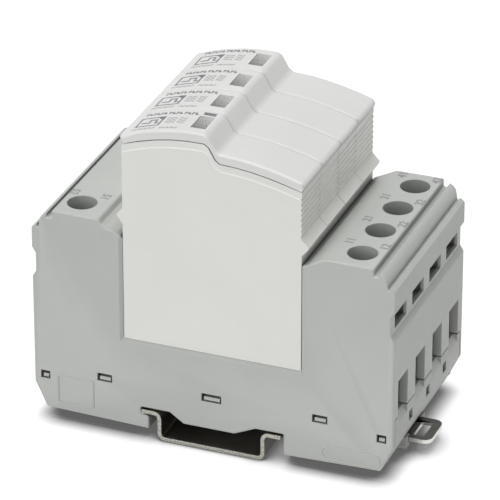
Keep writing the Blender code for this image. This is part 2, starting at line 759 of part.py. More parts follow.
def add_latch_guide(tray, cutters):
    """Two rails under the line side that carry the foot latch, and the channel between them."""
    half = LATCH_WIDTH / 2
    floor = LATCH_UNDERSIDE - FIT_GAP
    roof = LATCH_TOP + FIT_GAP
    channel_start = LATCH_WALL - CUT_OVERRUN
    channel_end = HALF_LENGTH + CUT_OVERRUN
    overlap = FIT_GAP / 3
    for side, label in ((-1, "near"), (1, "far")):
        edge = LATCH_Y + side * (half + FIT_GAP + LATCH_LEDGE)
        ends = sorted((edge, edge - side * GUIDE_WIDTH))
        join(tray, box(
            f"latch_rail_{label}",
            (LATCH_WALL + GUIDE_ROOT, ends[0], floor - LATCH_LEDGE),
            (HALF_LENGTH - GUIDE_INSET, ends[1], LATCH_TOP + GUIDE_CROWN),
            cutters,
        ))
    room = SPRING_RADIUS + SPRING_PLAY
    cover = room + SPRING_COVER_WALL
    cover_top = TRAY_BLOCK_TOP - FIT_GAP
    spring_end = HALF_LENGTH - SPRING_INSET
    join(tray, box(
        "spring_cover",
        (TRAY_BLOCK_HALF - CUT_OVERRUN / 2, LATCH_Y - cover, TRAY_FLOOR - CUT_OVERRUN),
        (spring_end + SPRING_COVER_END, LATCH_Y + cover, cover_top),
        cutters,
    ))
    cut(
        tray,
        box(
            "latch_channel",
            (channel_start, LATCH_Y - half - FIT_GAP, floor),
            (channel_end, LATCH_Y + half + FIT_GAP, roof),
            cutters,
        ),
        box(
            "latch_channel_opening",
            (channel_start, LATCH_Y - half + LATCH_LEDGE, BASE_BOTTOM - 2 * CUT_OVERRUN),
            (channel_end, LATCH_Y + half - LATCH_LEDGE, floor + overlap),
            cutters,
        ),
        box(
            "latch_nose_room",
            (channel_start, LATCH_Y - half - FIT_GAP, floor + overlap),
            (LATCH_WALL + LATCH_TRAVEL + SPRING_PLAY, LATCH_Y + half + FIT_GAP, FLANGE_UNDERSIDE),
            cutters,
        ),
        box(
            "spring_room",
            (TRAY_BLOCK_HALF - LATCH_SHEET - SPRING_PLAY, LATCH_Y - room, roof - overlap),
            (spring_end, LATCH_Y + room, cover_top - SPRING_COVER_WALL - FIT_GAP),
            cutters,
        ),
    )


def make_foot_latch(parts, cutters, material):
    """A steel plate with an upturned nose under the rail flange and a screwdriver eye outside."""
    half = LATCH_WIDTH / 2
    nose = RAIL_WIDTH / 2 - LATCH_NOSE_HOLD
    end = HALF_LENGTH + LATCH_REACH
    corner = LATCH_CORNER
    plan = [
        (nose, -half),
        *arc(end - corner, -half + corner, corner, -90, 0, 4),
        *arc(end - corner, half - corner, corner, 0, 90, 4),
        (nose, half),
    ]
    placed = [(u, v + LATCH_Y) for u, v in plan]
    latch = plan_profile("foot_latch", placed, LATCH_UNDERSIDE, LATCH_TOP, parts)
    latch.data.materials.append(material)
    root = LATCH_UNDERSIDE + LATCH_SHEET / 5
    inset = LATCH_SHEET / 100
    join(latch, box(
        "latch_nose",
        (nose + inset, LATCH_Y - half + inset, root),
        (nose + LATCH_SHEET, LATCH_Y + half - inset, FLANGE_UNDERSIDE - FIT_GAP),
        cutters,
    ))
    tab_x = TRAY_BLOCK_HALF - LATCH_SHEET
    join(latch, box(
        "latch_spring_tab",
        (tab_x, LATCH_Y - SPRING_RADIUS, root),
        (tab_x + LATCH_SHEET, LATCH_Y + SPRING_RADIUS, LATCH_TOP + FIT_GAP + 2 * SPRING_RADIUS),
        cutters,
    ))
    eye_outer = end - LATCH_RIM
    cut(latch, box(
        "latch_eye",
        (eye_outer - LATCH_EYE[0], LATCH_Y - LATCH_EYE[1] / 2, LATCH_UNDERSIDE - LATCH_SHEET),
        (eye_outer, LATCH_Y + LATCH_EYE[1] / 2, LATCH_TOP + LATCH_SHEET),
        cutters,
    ))
    return latch


def coil(name, radius, wire, length, turns, start, direction, collection):
    """A round-wire coil along a direction, starting at a point."""
    steps = 8
    curve = bpy.data.curves.new(name, "CURVE")
    curve.dimensions = "3D"
    curve.bevel_depth = wire
    curve.bevel_resolution = 2
    curve.use_fill_caps = True
    spline = curve.splines.new("POLY")
    spline.points.add(turns * steps)
    for i, point in enumerate(spline.points):
        angle = 2 * math.pi * i / steps
        along = wire + (length - 2 * wire) * i / (turns * steps)
        point.co = (radius * math.cos(angle), radius * math.sin(angle), along, 1.0)
    curve_object = bpy.data.objects.new(name + "_path", curve)
    turn = Vector((0.0, 0.0, 1.0)).rotation_difference(Vector(direction)).to_matrix().to_4x4()
    curve_object.matrix_world = Matrix.Translation(start) @ turn
    collection.objects.link(curve_object)
    return curve_to_mesh(name, curve_object, collection)


def make_latch_spring(parts, material):
    start_x = TRAY_BLOCK_HALF + FIT_GAP
    length = HALF_LENGTH - SPRING_INSET - FIT_GAP - start_x
    spring = coil(
        "foot_latch_spring", SPRING_RADIUS - SPRING_WIRE, SPRING_WIRE, length, SPRING_TURNS,
        (start_x, LATCH_Y, LATCH_TOP + FIT_GAP + SPRING_RADIUS), (1.0, 0.0, 0.0), parts,
    )
    spring.data.materials.append(material)
    shade_round(spring, 60)
    return spring


def rail_outline():
    """The hat section with bent corners, half of it mirrored."""
    tip = RAIL_WIDTH / 2
    outer = tip - RAIL_FLANGE
    inner = outer - RAIL_SHEET
    top = RAIL_HEIGHT
    small = RAIL_BEND
    large = RAIL_BEND + RAIL_SHEET
    lower = [
        *arc(outer - large, large, large, -90, 0, 3),
        *arc(outer + small, top - RAIL_SHEET - small, small, 180, 90, 2),
        (tip, top - RAIL_SHEET),
        (tip, top),
        *arc(inner + large, top - large, large, 90, 180, 3),
        *arc(inner - small, RAIL_SHEET + small, small, 0, -90, 2),
    ]
    return [*lower, *mirrored(lower)]


def make_rail(parts, material):
    length = BASE_WIDTH + 2 * RAIL_OVERHANG
    rail = side_profile("mounting_rail_piece", rail_outline(), length, 0.0, parts)
    rail.data.materials.append(material)
    return rail


def fork_path(side):
    """The bent path of a contact fork, from its free tip round to the level run."""
    reach = BLADE_SHEET / 2 + CONTACT_SHEET / 2 + FORK_GRIP
    bend = CONTACT_LEVEL - FORK_FLARE[1]
    points = [
        (CONTACT_X - reach - FORK_FLARE[0], CONTACT_LEVEL),
        (CONTACT_X - reach, bend),
        (CONTACT_X - reach, FORK_BOTTOM),
        (CONTACT_X + reach, FORK_BOTTOM),
        (CONTACT_X + reach, bend),
        (CONTACT_X + reach + FORK_FLARE[0], CONTACT_LEVEL),
    ]
    return [(side * u, v) for u, v in points]


def tongue_path(side):
    """From the level run up to the tongue inside the clamp."""
    points = [
        (CHAMBER_INNER + TONGUE_RAMP[0], CONTACT_LEVEL),
        (CHAMBER_INNER + TONGUE_RAMP[1], TONGUE_LEVEL),
        (TERMINAL_X + CLAMP_LENGTH / 2 + TONGUE_END, TONGUE_LEVEL),
    ]
    return [(side * u, v) for u, v in points]


def make_line_contacts(parts, material):
    outline = strip_outline(fork_path(1) + tongue_path(1), CONTACT_SHEET)
    for i, y in enumerate(MODULE_CENTRES):
        contact = side_profile(f"line_contact_{i + 1}", outline, CONTACT_WIDTH, y, parts)
        contact.data.materials.append(material)


def make_earth_bar(parts, cutters, material):
    """One bar along the modules with a fork for each plug and a tongue for the earth clamp."""
    half = CONTACT_SHEET / 2
    bar = box(
        "earth_bar",
        (BAR_OUTER, MODULE_CENTRES[0] - CONTACT_WIDTH / 2, CONTACT_LEVEL - half),
        (BAR_INNER, MODULE_CENTRES[-1] + CONTACT_WIDTH / 2, CONTACT_LEVEL + half),
        parts,
    )
    bar.data.materials.append(material)
    fork = strip_outline(fork_path(-1) + [(BAR_INNER - CONTACT_SHEET, CONTACT_LEVEL)], CONTACT_SHEET)
    for i, y in enumerate(MODULE_CENTRES):
        join(bar, side_profile(f"earth_fork_{i + 1}", fork, CONTACT_WIDTH, y, cutters))
    tongue = strip_outline([(BAR_OUTER + CONTACT_SHEET, CONTACT_LEVEL)] + tongue_path(-1), CONTACT_SHEET)
    join(bar, side_profile("earth_tongue", tongue, CONTACT_WIDTH, EARTH_Y, cutters))
    return bar


def make_terminals(parts, cutters, steel):
    for i, (side, y) in enumerate(terminal_places()):
        make_terminal_screw(i + 1, side * TERMINAL_X, y, parts, cutters, steel)
        make_terminal_clamp(i + 1, side * TERMINAL_X, y, parts, cutters, steel)


def make_terminal_screw(number, x, y, parts, cutters, steel):
    """A slotted screw turned about its axis: its profile runs from the head's top down to the tip."""
    profile = [
        (0.0, HEAD_HIGH),
        (SCREW_HEAD_RADIUS - HEAD_CHAMFER, HEAD_HIGH),
        (SCREW_HEAD_RADIUS, HEAD_HIGH - HEAD_CHAMFER),
        (SCREW_HEAD_RADIUS, HEAD_LOW),
        (SCREW_RADIUS, HEAD_LOW),
        (SCREW_RADIUS, SCREW_TIP + SCREW_CHAMFER),
        (SCREW_RADIUS - SCREW_CHAMFER, SCREW_TIP),
        (0.0, SCREW_TIP),
    ]
    mesh = bpy.data.meshes.new(f"terminal_screw_{number}")
    points = [(radius, 0.0, height - SCREW_TIP) for radius, height in profile]
    edges = [(i, i + 1) for i in range(len(points) - 1)]
    mesh.from_pydata(points, edges, [])
    screw = mesh_object(f"terminal_screw_{number}", mesh, (x, y, SCREW_TIP), parts)
    turn = screw.modifiers.new("turned", "SCREW")
    turn.steps = 20
    turn.render_steps = 20
    turn.use_merge_vertices = True
    turn.merge_threshold = 1e-5
    screw.data.materials.append(steel)
    slot_width, slot_depth = SCREW_SLOT
    reach = SCREW_HEAD_RADIUS + CUT_OVERRUN
    cut(screw, box(
        f"screw_slot_{number}",
        (x - reach, y - slot_width / 2, HEAD_HIGH - slot_depth),
        (x + reach, y + slot_width / 2, HEAD_HIGH + CUT_OVERRUN),
        cutters,
    ))


def make_terminal_clamp(number, x, y, parts, cutters, steel):
    """A box clamp, open along X, with the screw's hole in its bridge."""
    clamp = box(
        f"terminal_clamp_{number}",
        (x - CLAMP_LENGTH / 2, y - CLAMP_WIDTH / 2, CLAMP_FLOOR - CLAMP_SOLE),
        (x + CLAMP_LENGTH / 2, y + CLAMP_WIDTH / 2, CLAMP_TOP),
        parts,
    )
    clamp.data.materials.append(steel)
    half_window = CLAMP_WIDTH / 2 - CLAMP_WALL
    cut(
        clamp,
        box(
            f"clamp_window_{number}",
            (x - CLAMP_LENGTH, y - half_window, CLAMP_FLOOR),
            (x + CLAMP_LENGTH, y + half_window, CLAMP_ROOF),
            cutters,
        ),
        cylinder(
            f"clamp_thread_{number}", SCREW_RADIUS + FIT_GAP, CLAMP_ROOF - CUT_OVERRUN,
            CLAMP_TOP + CUT_OVERRUN, (x, y), cutters, 16,
        ),
    )


def dome_height(x):
    half_span = HALF_PLUG + DOME_X + CAP_OVERHANG
    return DOME_TOP - DOME_DROP * ((x - DOME_X) / half_span) ** 2


def slope_height(x):
    share = max(x - STEP_X, 0.0) / (HALF_PLUG - STEP_X)
    return STEP_TOP - SLOPE_DROP * share ** SLOPE_POWER


def cap_line(lowered, left_end, right_end):
    """The plug's top line from left to right: dome, step and slope, lowered by an amount."""
    points = []
    dome_end = DOME_X + DOME_FLAT
    for i in range(CAP_LINE_STEPS + 1):
        x = left_end + (dome_end - left_end) * i / CAP_LINE_STEPS
        points.append((x, dome_height(x) - lowered))
    points.append((dome_end + DOME_EDGE[0], DOME_TOP - DOME_EDGE[1] - lowered))
    points.append((STEP_X - STEP_EDGE[0], STEP_TOP + STEP_EDGE[1] - lowered))
    for i in range(CAP_LINE_STEPS + 1):
        x = STEP_X + (right_end - STEP_X) * i / CAP_LINE_STEPS
        points.append((x, slope_height(x) - lowered))
    return points


def rib_points():
    """Grip ribs down the line-side wall, from the cap to the latch nub."""
    top = slope_height(HALF_PLUG) - CAP_DEPTH - RIB_MARGINS[0]
    bottom = NUB_LOW + NUB_HEIGHT + RIB_MARGINS[1]
    pitch = (top - bottom) / RIB_COUNT
    points = []
    for i in range(RIB_COUNT):
        height = top - i * pitch
        points.append((HALF_PLUG, height))
        points.append((HALF_PLUG, height - pitch * 0.5))
        points.append((HALF_PLUG - RIB_DEPTH, height - pitch * 0.65))
        points.append((HALF_PLUG - RIB_DEPTH, height - pitch * 0.95))
    return points


def nub_points(side, reach):
    """A latch nub on an end wall, from its lower to its upper edge."""
    shares = [(0.0, 0.0), (0.8, 0.38), (1.0, 0.55), (0.0, 1.0)]
    return [(side * (HALF_PLUG + reach * u), NUB_LOW + NUB_HEIGHT * v) for u, v in shares]


def plug_outline():
    return [
        (-HALF_PLUG, PLUG_BOTTOM),
        *nub_points(-1, EARTH_NUB),
        *cap_line(CAP_DEPTH, -HALF_PLUG, HALF_PLUG),
        *rib_points(),
        *reversed(nub_points(1, LINE_NUB)),
        (HALF_PLUG, PLUG_BOTTOM),
    ]


def panel_outline():
    """The raised field on each side of a plug."""
    left = -HALF_PLUG + PANEL_INSET
    right = HALF_PLUG - RIB_DEPTH - PANEL_INSET
    low = PLUG_BOTTOM + PANEL_INSET
    return [(left, low), *cap_line(CAP_DEPTH + PANEL_MARGIN, left, right), (right, low)]


def plug_cavity_outline():
    left = -HALF_PLUG + PLUG_WALL
    right = HALF_PLUG - PLUG_WALL - RIB_DEPTH
    floor = PLUG_BOTTOM + PLUG_WALL
    top = DOME_TOP + CUT_OVERRUN
    return [(left, floor), (left, top), (right, top), (right, floor)]


def cap_outline():
    left = -HALF_PLUG - CAP_OVERHANG
    right = HALF_PLUG + CAP_FRONT_REACH
    top = cap_line(0.0, left, right)
    bottom = cap_line(CAP_THICKNESS, left + CAP_OVERHANG, right)
    nose = (right + CAP_NOSE, slope_height(right) - CAP_THICKNESS / 2)
    return [*top, nose, *reversed(bottom)]


def make_plug(number, y, parts, cutters, finishes):
    """All pieces of one plug, numbered from the near end."""
    tag = f"plug_{number}"
    housing = make_plug_housing(tag, y, parts, cutters, finishes["plug"])
    make_plug_cap(tag, y, parts, cutters, finishes)
    varistor_y = y - PLUG_INNER_HALF + VARISTOR_BACK_ROOM
    front_y = y + PLUG_INNER_HALF - VARISTOR_FRONT_ROOM
    varistor = box(
        f"{tag}_varistor",
        (-VARISTOR_WIDTH / 2, varistor_y, VARISTOR_BASE),
        (VARISTOR_WIDTH / 2, front_y, VARISTOR_TOP),
        parts,
    )
    varistor.data.materials.append(finishes["varistor"])
    round_edges(varistor, VARISTOR_EDGE, 1)
    line_tab_y = varistor_y - FIT_GAP - TAB_SHEET
    make_blade(f"{tag}_line_blade", 1, y, line_tab_y, LINE_TAB, parts, cutters, finishes["copper"])
    earth_tab_y = front_y + FIT_GAP
    make_blade(f"{tag}_earth_blade", -1, y, earth_tab_y, EARTH_TAB, parts, cutters, finishes["copper"])
    arm_y = front_y + FIT_GAP + ARM_SHEET / 2
    make_disconnector(tag, y, arm_y, housing, parts, cutters, finishes)


def make_plug_housing(tag, y, parts, cutters, material):
    housing = side_profile(f"{tag}_housing", plug_outline(), PLUG_BODY_WIDTH, y, parts)
    housing.data.materials.append(material)
    join(housing, side_profile(f"{tag}_panels", panel_outline(), PLUG_WIDTH, y, cutters))
    cavity_width = 2 * PLUG_INNER_HALF
    cut(housing, side_profile(f"{tag}_cavity", plug_cavity_outline(), cavity_width, y, cutters))
    half_x = BLADE_SHEET / 2 + FIT_GAP
    half_y = CONTACT_WIDTH / 2 + FIT_GAP
    for side, label in ((1, "line"), (-1, "earth")):
        cut(housing, sided_box(
            f"{tag}_{label}_slot", side, CONTACT_X - half_x, CONTACT_X + half_x,
            (y - half_y, y + half_y), (PLUG_BOTTOM - CUT_OVERRUN, PLUG_BOTTOM + 2 * PLUG_WALL), cutters,
        ))
    return housing


def make_plug_cap(tag, y, parts, cutters, finishes):
    """The domed cover with its window hole, and the clear window sunk in it."""
    cap = side_profile(f"{tag}_cap", cap_outline(), PLUG_WIDTH, y, parts)
    cap.data.materials.append(finishes["cap"])
    round_edges(cap, CAP_EDGE_ROUND, 1)
    shade_round(cap)
    half_x, half_y = (size / 2 for size in WINDOW_SIZE)
    cut(cap, box(
        f"{tag}_window_hole",
        (WINDOW_X - half_x, y - half_y, DOME_TOP - 2 * CAP_THICKNESS),
        (WINDOW_X + half_x, y + half_y, DOME_TOP + CUT_OVERRUN),
        cutters,
    ))
    window_top = dome_height(WINDOW_X) - WINDOW_SUNK
    window = box(
        f"{tag}_window",
        (WINDOW_X - half_x + FIT_GAP, y - half_y + FIT_GAP, window_top - WINDOW_SHEET),
        (WINDOW_X + half_x - FIT_GAP, y + half_y - FIT_GAP, window_top),
        parts,
    )
    window.data.materials.append(finishes["window"])


def make_blade(name, side, y, tab_y, tab, parts, cutters, material):
    """A contact blade through the plug's floor, with a foot and a tab along the varistor's face."""
    x = side * CONTACT_X
    root = PLUG_BOTTOM + PLUG_WALL + BLADE_ROOT_RISE
    half_y = CONTACT_WIDTH / 2
    blade = box(
        name, (x - BLADE_SHEET / 2, y - half_y, BLADE_TIP), (x + BLADE_SHEET / 2, y + half_y, root), parts,
    )
    blade.data.materials.append(material)
    foot_near = min(tab_y, y - half_y)
    foot_far = max(tab_y + TAB_SHEET, y + half_y)
    join(blade, box(
        f"{name}_foot",
        (x - BLADE_FOOT / 2, foot_near, root - BLADE_SHEET),
        (x + BLADE_FOOT / 2, foot_far, root - BLADE_SHEET / 8),
        cutters,
    ))
    reach, height = tab
    join(blade, sided_box(
        f"{name}_tab", side, CONTACT_X - reach, CONTACT_X + TAB_OVERLAP, (tab_y, tab_y + TAB_SHEET),
        (root - BLADE_SHEET / 2, VARISTOR_BASE + height), cutters,
    ))


def make_disconnector(tag, y, arm_y, housing, parts, cutters, finishes):
    """The soldered arm in front of the varistor, its flag under the window and its spring."""
    foot = VARISTOR_BASE + EARTH_TAB[1] + FIT_GAP
    top = dome_height(WINDOW_X) - CAP_THICKNESS - ARM_HEADROOM
    foot_left = WINDOW_X - ARM_FOOT[0]
    foot_right = WINDOW_X - ARM_FOOT[1]
    neck = ARM_NECK / 2
    outline = [
        (foot_left, foot),
        (foot_right, foot),
        (foot_right, foot + ARM_FOOT_HEIGHT),
        (WINDOW_X + neck, foot + ARM_NECK_START),
        (WINDOW_X + neck, top),
        (WINDOW_X - neck, top),
        (WINDOW_X - neck, foot + ARM_NECK_START + ARM_SHEET),
        (foot_left, foot + ARM_FOOT_HEIGHT + ARM_SHEET),
    ]
    arm = side_profile(f"{tag}_disconnect_arm", outline, ARM_SHEET, arm_y, parts)
    arm.data.materials.append(finishes["copper"])
    flag_low = top + FIT_GAP
    flag = box(
        f"{tag}_flag",
        (WINDOW_X - FLAG_SIZE[0] / 2, y - FLAG_SIZE[1] / 2, flag_low),
        (WINDOW_X + FLAG_SIZE[0] / 2, y + FLAG_SIZE[1] / 2, flag_low + FLAG_SIZE[2]),
        parts,
    )
    flag.data.materials.append(finishes["flag"])
    coil_start = WINDOW_X + neck + FIT_GAP
    coil_end = HALF_PLUG - POST_INSET
    coil_z = top - DISCONNECT_DROP
    post_length, post_height = POST_SIZE
    join(housing, box(
        f"{tag}_spring_post",
        (coil_end + FIT_GAP, y - PLUG_INNER_HALF - PLUG_WALL / 4, coil_z - post_height / 2),
        (coil_end + FIT_GAP + post_length, y + PLUG_INNER_HALF - PLUG_WALL, coil_z + post_height / 2),
        cutters,
    ))
    spring = coil(
        f"{tag}_disconnect_spring", DISCONNECT_RADIUS, DISCONNECT_WIRE, coil_end - coil_start,
        DISCONNECT_TURNS, (coil_start, arm_y, coil_z), (1.0, 0.0, 0.0), parts,
    )
    spring.data.materials.append(finishes["steel"])
    shade_round(spring, 60)


def build():
    clear_scene()
    parts = new_collection(COLLECTION_NAME)
    cutters = new_collection("cutters")
    grey = principled("base_grey_plastic", (0.445, 0.462, 0.434), 0.52)
    tray_grey = principled("tray_grey_plastic", (0.43, 0.447, 0.42), 0.55)
    steel = principled("zinc_plated_steel", (0.55, 0.55, 0.54), 0.34, 1.0)
    rail_steel = principled("rail_steel", (0.62, 0.62, 0.6), 0.3, 1.0)
    finishes = {
        "plug": principled("plug_white_plastic", (0.672, 0.672, 0.642), 0.5),
        "cap": principled("cap_white_plastic", (0.694, 0.694, 0.68), 0.48),
        "window": principled("clear_window", (0.75, 0.78, 0.76), 0.15, 0.0, 0.35),
        "flag": principled("flag_green", (0.13, 0.32, 0.16), 0.5),
        "varistor": principled("varistor_coating", (0.16, 0.05, 0.03), 0.45),
        "copper": principled("tinned_copper", (0.72, 0.52, 0.38), 0.3, 1.0),
        "steel": principled("spring_steel", (0.5, 0.5, 0.5), 0.3, 1.0),
    }
    make_rail(parts, rail_steel)
    make_base_housing(parts, cutters, grey)
    make_base_tray(parts, cutters, tray_grey)
    make_foot_latch(parts, cutters, steel)
    make_latch_spring(parts, finishes["steel"])
    make_line_contacts(parts, finishes["copper"])
    make_earth_bar(parts, cutters, finishes["copper"])
    make_terminals(parts, cutters, steel)
    for i, y in enumerate(MODULE_CENTRES):
        make_plug(i + 1, y, parts, cutters, finishes)
    bpy.context.view_layer.update()


build()
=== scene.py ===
"""The looks of the rail-mounted surge arrester: finishes, rounded edges, marks, floor, light and camera."""

import json
import math

import bmesh
import bpy
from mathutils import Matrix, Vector
from mathutils.bvhtree import BVHTree


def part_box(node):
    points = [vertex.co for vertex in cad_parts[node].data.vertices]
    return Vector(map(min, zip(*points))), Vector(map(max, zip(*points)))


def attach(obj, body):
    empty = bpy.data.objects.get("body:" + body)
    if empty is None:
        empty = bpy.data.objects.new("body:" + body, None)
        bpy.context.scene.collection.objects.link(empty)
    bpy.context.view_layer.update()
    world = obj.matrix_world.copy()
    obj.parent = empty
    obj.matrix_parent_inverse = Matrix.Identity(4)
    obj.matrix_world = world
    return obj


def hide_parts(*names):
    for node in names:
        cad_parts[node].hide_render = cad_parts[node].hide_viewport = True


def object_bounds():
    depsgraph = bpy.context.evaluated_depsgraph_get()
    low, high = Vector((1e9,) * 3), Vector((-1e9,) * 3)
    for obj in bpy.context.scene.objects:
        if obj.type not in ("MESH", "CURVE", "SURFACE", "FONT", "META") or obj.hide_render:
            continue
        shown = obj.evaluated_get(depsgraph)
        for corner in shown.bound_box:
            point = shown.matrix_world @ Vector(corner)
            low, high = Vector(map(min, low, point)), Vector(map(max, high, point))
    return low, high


# Lengths are in metres and angles in degrees.
MM = 0.001

# The camera: its direction, its distance, the point that it looks at, and its lens.
CAMERA_AZIMUTH = 21.29
CAMERA_ELEVATION = 27.68
CAMERA_DISTANCE = 1000 * MM
CAMERA_TARGET = (0.17 * MM, 0.0, 40.97 * MM)
CAMERA_LENS = 306.2
SENSOR_WIDTH = 36.0
CLIP_START = 10 * MM
CLIP_END = 20000 * MM

# The light: a soft key nearly overhead, a weak fill from the front and a surround that darkens upwards.
KEY_DIRECTION = (-0.04, 0.08, 1.0)
KEY_STRENGTH = 2.1
KEY_ANGLE = 24.0
FILL_DIRECTION = (-0.3, -0.9, 0.35)
FILL_STRENGTH = 1.35
FILL_ANGLE = 60.0
SURROUND_LOW = 0.75
SURROUND_HIGH = 0.05
BACKGROUND = 1.0

# The floor lies just under the rail. It glows white where it is seen, except close to the part, where a
# contact shadow is painted into its glow and colour.
FLOOR_SIZE = 6000 * MM
FLOOR_DROP = 0.05 * MM
FLOOR_BOUNCE = 0.7
FLOOR_SHADE = 0.24
FLOOR_GLOW = 0.86
PAINTED_SHADOW_REACH = 5.6 * MM
PAINTED_SHADOW_SPAN = (0.5, 0.95)
PAINTED_SHADOW_DARK = 0.13

# Painted shade: deep hollows are made darker than the light alone leaves them.
HOLLOW_SHADE_REACH = 3.5 * MM
HOLLOW_SHADE_SPAN = (0.1, 0.5)
HOLLOW_SHADE_DARK = 0.22

# Grains of the finishes in cycles per metre, and their relief: its depth and its strength.
CLOUD_SCALE = 60.0
WIDE_SCALE = 420.0
WIDE_RELIEF = (0.04 * MM, 0.25)
FINE_SCALE = 3200.0
FINE_RELIEF = (0.03 * MM, 0.45)
PLATING_SCALE = 140.0
STREAK_SCALE = 900.0
STREAK_RELIEF = (0.03 * MM, 0.3)
SHEAR_SCALE = 2600.0
SHEAR_RELIEF = (0.08 * MM, 0.6)
INK_SCALE = 1800.0
LENS_SCALE = 2400.0
LENS_RELIEF = (0.04 * MM, 0.4)
COATING_SCALE = 900.0
COATING_RELIEF = (0.1 * MM, 0.4)

# The spans of noise that the finishes follow, and how dark and how pale it makes their colour.
# A plastic gets paler by a share, CLOUD_PALER, of what it gets darker by.
NOISE_SPAN = (0.3, 0.7)
CLOUD_PALER = 0.6
PLATING_SPAN = (0.3, 0.75)
PLATING_TINT = (0.86, 1.06)
SHEAR_SPAN = (0.36, 0.62)
SHEAR_TINT = (0.42, 1.35)
INK_TINT = (0.85, 1.2)

# Roughness: how far it strays to either side with noise, or its values at both ends, or one value.
PLASTIC_STRAY = (-0.05, 0.06)
METAL_STRAY = (-0.07, 0.09)
SHEAR_ROUGHNESS = (0.6, 0.42)
LENS_ROUGHNESS = (0.22, 0.4)
INK_ROUGHNESS = 0.65
COATING_ROUGHNESS = 0.35

# The lens is nearly opaque. Its colour is painted shade that goes from dark to pale, mostly along it and
# less across it.
LENS_TRANSMISSION = 0.12
LENS_IOR = 1.49
LENS_ACROSS = 0.3
LENS_ALONG = 0.7
LENS_SHADE_SPAN = (0.05, 0.95)
LENS_SHADED = (0.13, 0.135, 0.13)
LENS_LIT = (0.5, 0.51, 0.49)

# The sheared face is partly dull, and the varistor's coating is mottled.
SHEAR_METALLIC = 0.6
COATING_DARK = (0.13, 0.04, 0.025)
COATING_PALE = (0.22, 0.075, 0.045)

# Painted highlight on the plastics' sharp edges: the span of pointiness, the share of the paler colour, and
# how pale it gets.
EDGE_HIGHLIGHT_SPAN = (0.52, 0.6)
EDGE_HIGHLIGHT_SHARE = 0.35
EDGE_HIGHLIGHT_PALER = 1.22
PALEST = 0.9

# How close points count as one, places as the same or as level, and faces as one plane.
WELD = 0.001 * MM
CLOSE = 0.02 * MM
LEVEL = 0.01 * MM
FLAT_ANGLE = 0.6

# Edges, as moulded or stamped. At a point, the largest face sets the shading, so that flat faces stay flat.
BASE_ROUND = 0.28 * MM
TRAY_ROUND = 0.15 * MM
PLUG_ROUND = 0.14 * MM
CAP_ROUND = 0.16 * MM
METAL_ROUND = 0.12 * MM
ROUND_STEPS = 2
SHARP_ANGLE = 28.0
LARGEST_FACE_WEIGHT = 100

# Cut faces of the sheet metal: the latch's don't lie flat, the rail's face along the rail.
LATCH_CUT_BELOW = 0.5
RAIL_CUT_ABOVE = 0.9

# The plugs' end walls come closer to the towers, and the valleys of the grip ribs are less deep.
WALL_START = 21.0 * MM
WALL_OUT = 0.38 * MM
RIB_VALLEY = 21.38 * MM
RIB_FOOT = 59.6 * MM
RIB_SHALLOWER = 0.14 * MM

# The plugs' sides are flat and come closer to the next plug; the panel's foot goes from one Z to another.
SIDE_START = 5.7 * MM
SIDE_LEVEL = 5.92 * MM
PLUG_FOOT = (25.6 * MM, 25.28 * MM)

# The caps' sides come closer too. Their lower lips, whose normals have a Z below LIP_NORMAL, go down.
CAP_SIDE_OUT = 0.11 * MM
CAP_LIP_DOWN = 0.5 * MM
LIP_NORMAL = -0.2

# The bead along each side panel follows the cap's surface, read at a line 5 mm from the plug's middle.
BEAD_LINE = 5 * MM
BEAD_DEPTH = 4.45 * MM
BEAD_WIDTH = 0.42 * MM
BEAD_PROUD = 0.075 * MM
BEAD_SUNK = 0.03 * MM
BEAD_ENDS = (-21.9 * MM, 21.6 * MM)
BEAD_STEP = 0.6 * MM

# The chamfer round the bay's opening in the base's side walls: its X and Z in the CAD, and its growth.
BAY_OUTER = (22.45 * MM, 24.95 * MM)
BAY_INNER = (22.2 * MM, 25.46 * MM)
CAD_CHAMFER = 0.25 * MM
CHAMFER_OUT = 0.5 * MM
CHAMFER_BACK = 0.42 * MM

# The lens in the cap's hole sits below the surface just beside it, and is wider than the window node.
LENS_BESIDE = 1 * MM
LENS_SUNK = 0.1 * MM
LENS_SHEET = 0.9 * MM
LENS_WIDER = 0.5 * MM

# The noses of the tray's catches stand low in their windows.
NOSE_TIP = 24.1 * MM
NOSE_DROP = 0.7 * MM
NOSE_BACK = 0.15 * MM

# Marks stand just proud of the surface that they are printed on, which is found by rays from above.
RAY_START = 10 * MM
PRINT_HEIGHT = 0.03 * MM
PRINT_SUNK = 0.02 * MM
PRINT_STEP = 1 * MM

# The print on a cap, in mm: X along the cap, Y across it from the plug's middle.
# A row has its first X, the bars in each group, a bar's length, the gap, and its low and high Y.
HEADING = (-19.7, (6, 4, 4), 0.72, 0.17, 3.3, 4.5)

# A bar of a row is an upright and a foot, as shares of its length and height.
UPRIGHT = 0.45
FOOT = 0.42
GROUP_GAP = 1.6

# The framed symbol: its box, its line, the patch at its upper right corner, and its bars' X and Y ends.
SYMBOL_BOX = (-20.0, -14.1, -2.9, 1.9)
SYMBOL_LINE = 0.4
SYMBOL_CORNER = ((-2.0, 0.0), (0.0, -2.0), (0.25, 0.0), (-1.0, 0.2))
SYMBOL_BARS = (
    (-19.0, -16.9, -1.3, -0.85), (-17.3, -16.9, -1.3, 0.6), (-16.9, -15.4, 0.15, 0.6),
    (-15.8, -15.4, -1.6, 0.15), (-15.4, -14.7, -1.6, -1.15),
)

# Small columns and captions: each one's first X and its bars; a bar's length, gap and height or Y ends.
COLUMNS = ((-13.2, 4), (-10.2, 3))
COLUMN_LINES = (-1.6, -0.45, 0.7)
COLUMN_BAR = (0.46, 0.16, 0.8)
CAPTIONS = ((-20.2, 9), (-13.4, 7))
CAPTION_BAR = (0.5, 0.14, -4.6, -3.8)

# The dark mark that only the first cap has, beside its window.
FIRST_MARK = (-5.7, -2.7, 3.65, 5.0)

# The numbers beside the screws.
NUMBER_HEIGHT = 2.9 * MM
NUMBER_WEIGHT = 0.08 * MM
NUMBER_ASIDE = 4.6 * MM
NUMBER_INWARD = 4.6 * MM
NUMBER_OUTWARD = 3.9 * MM

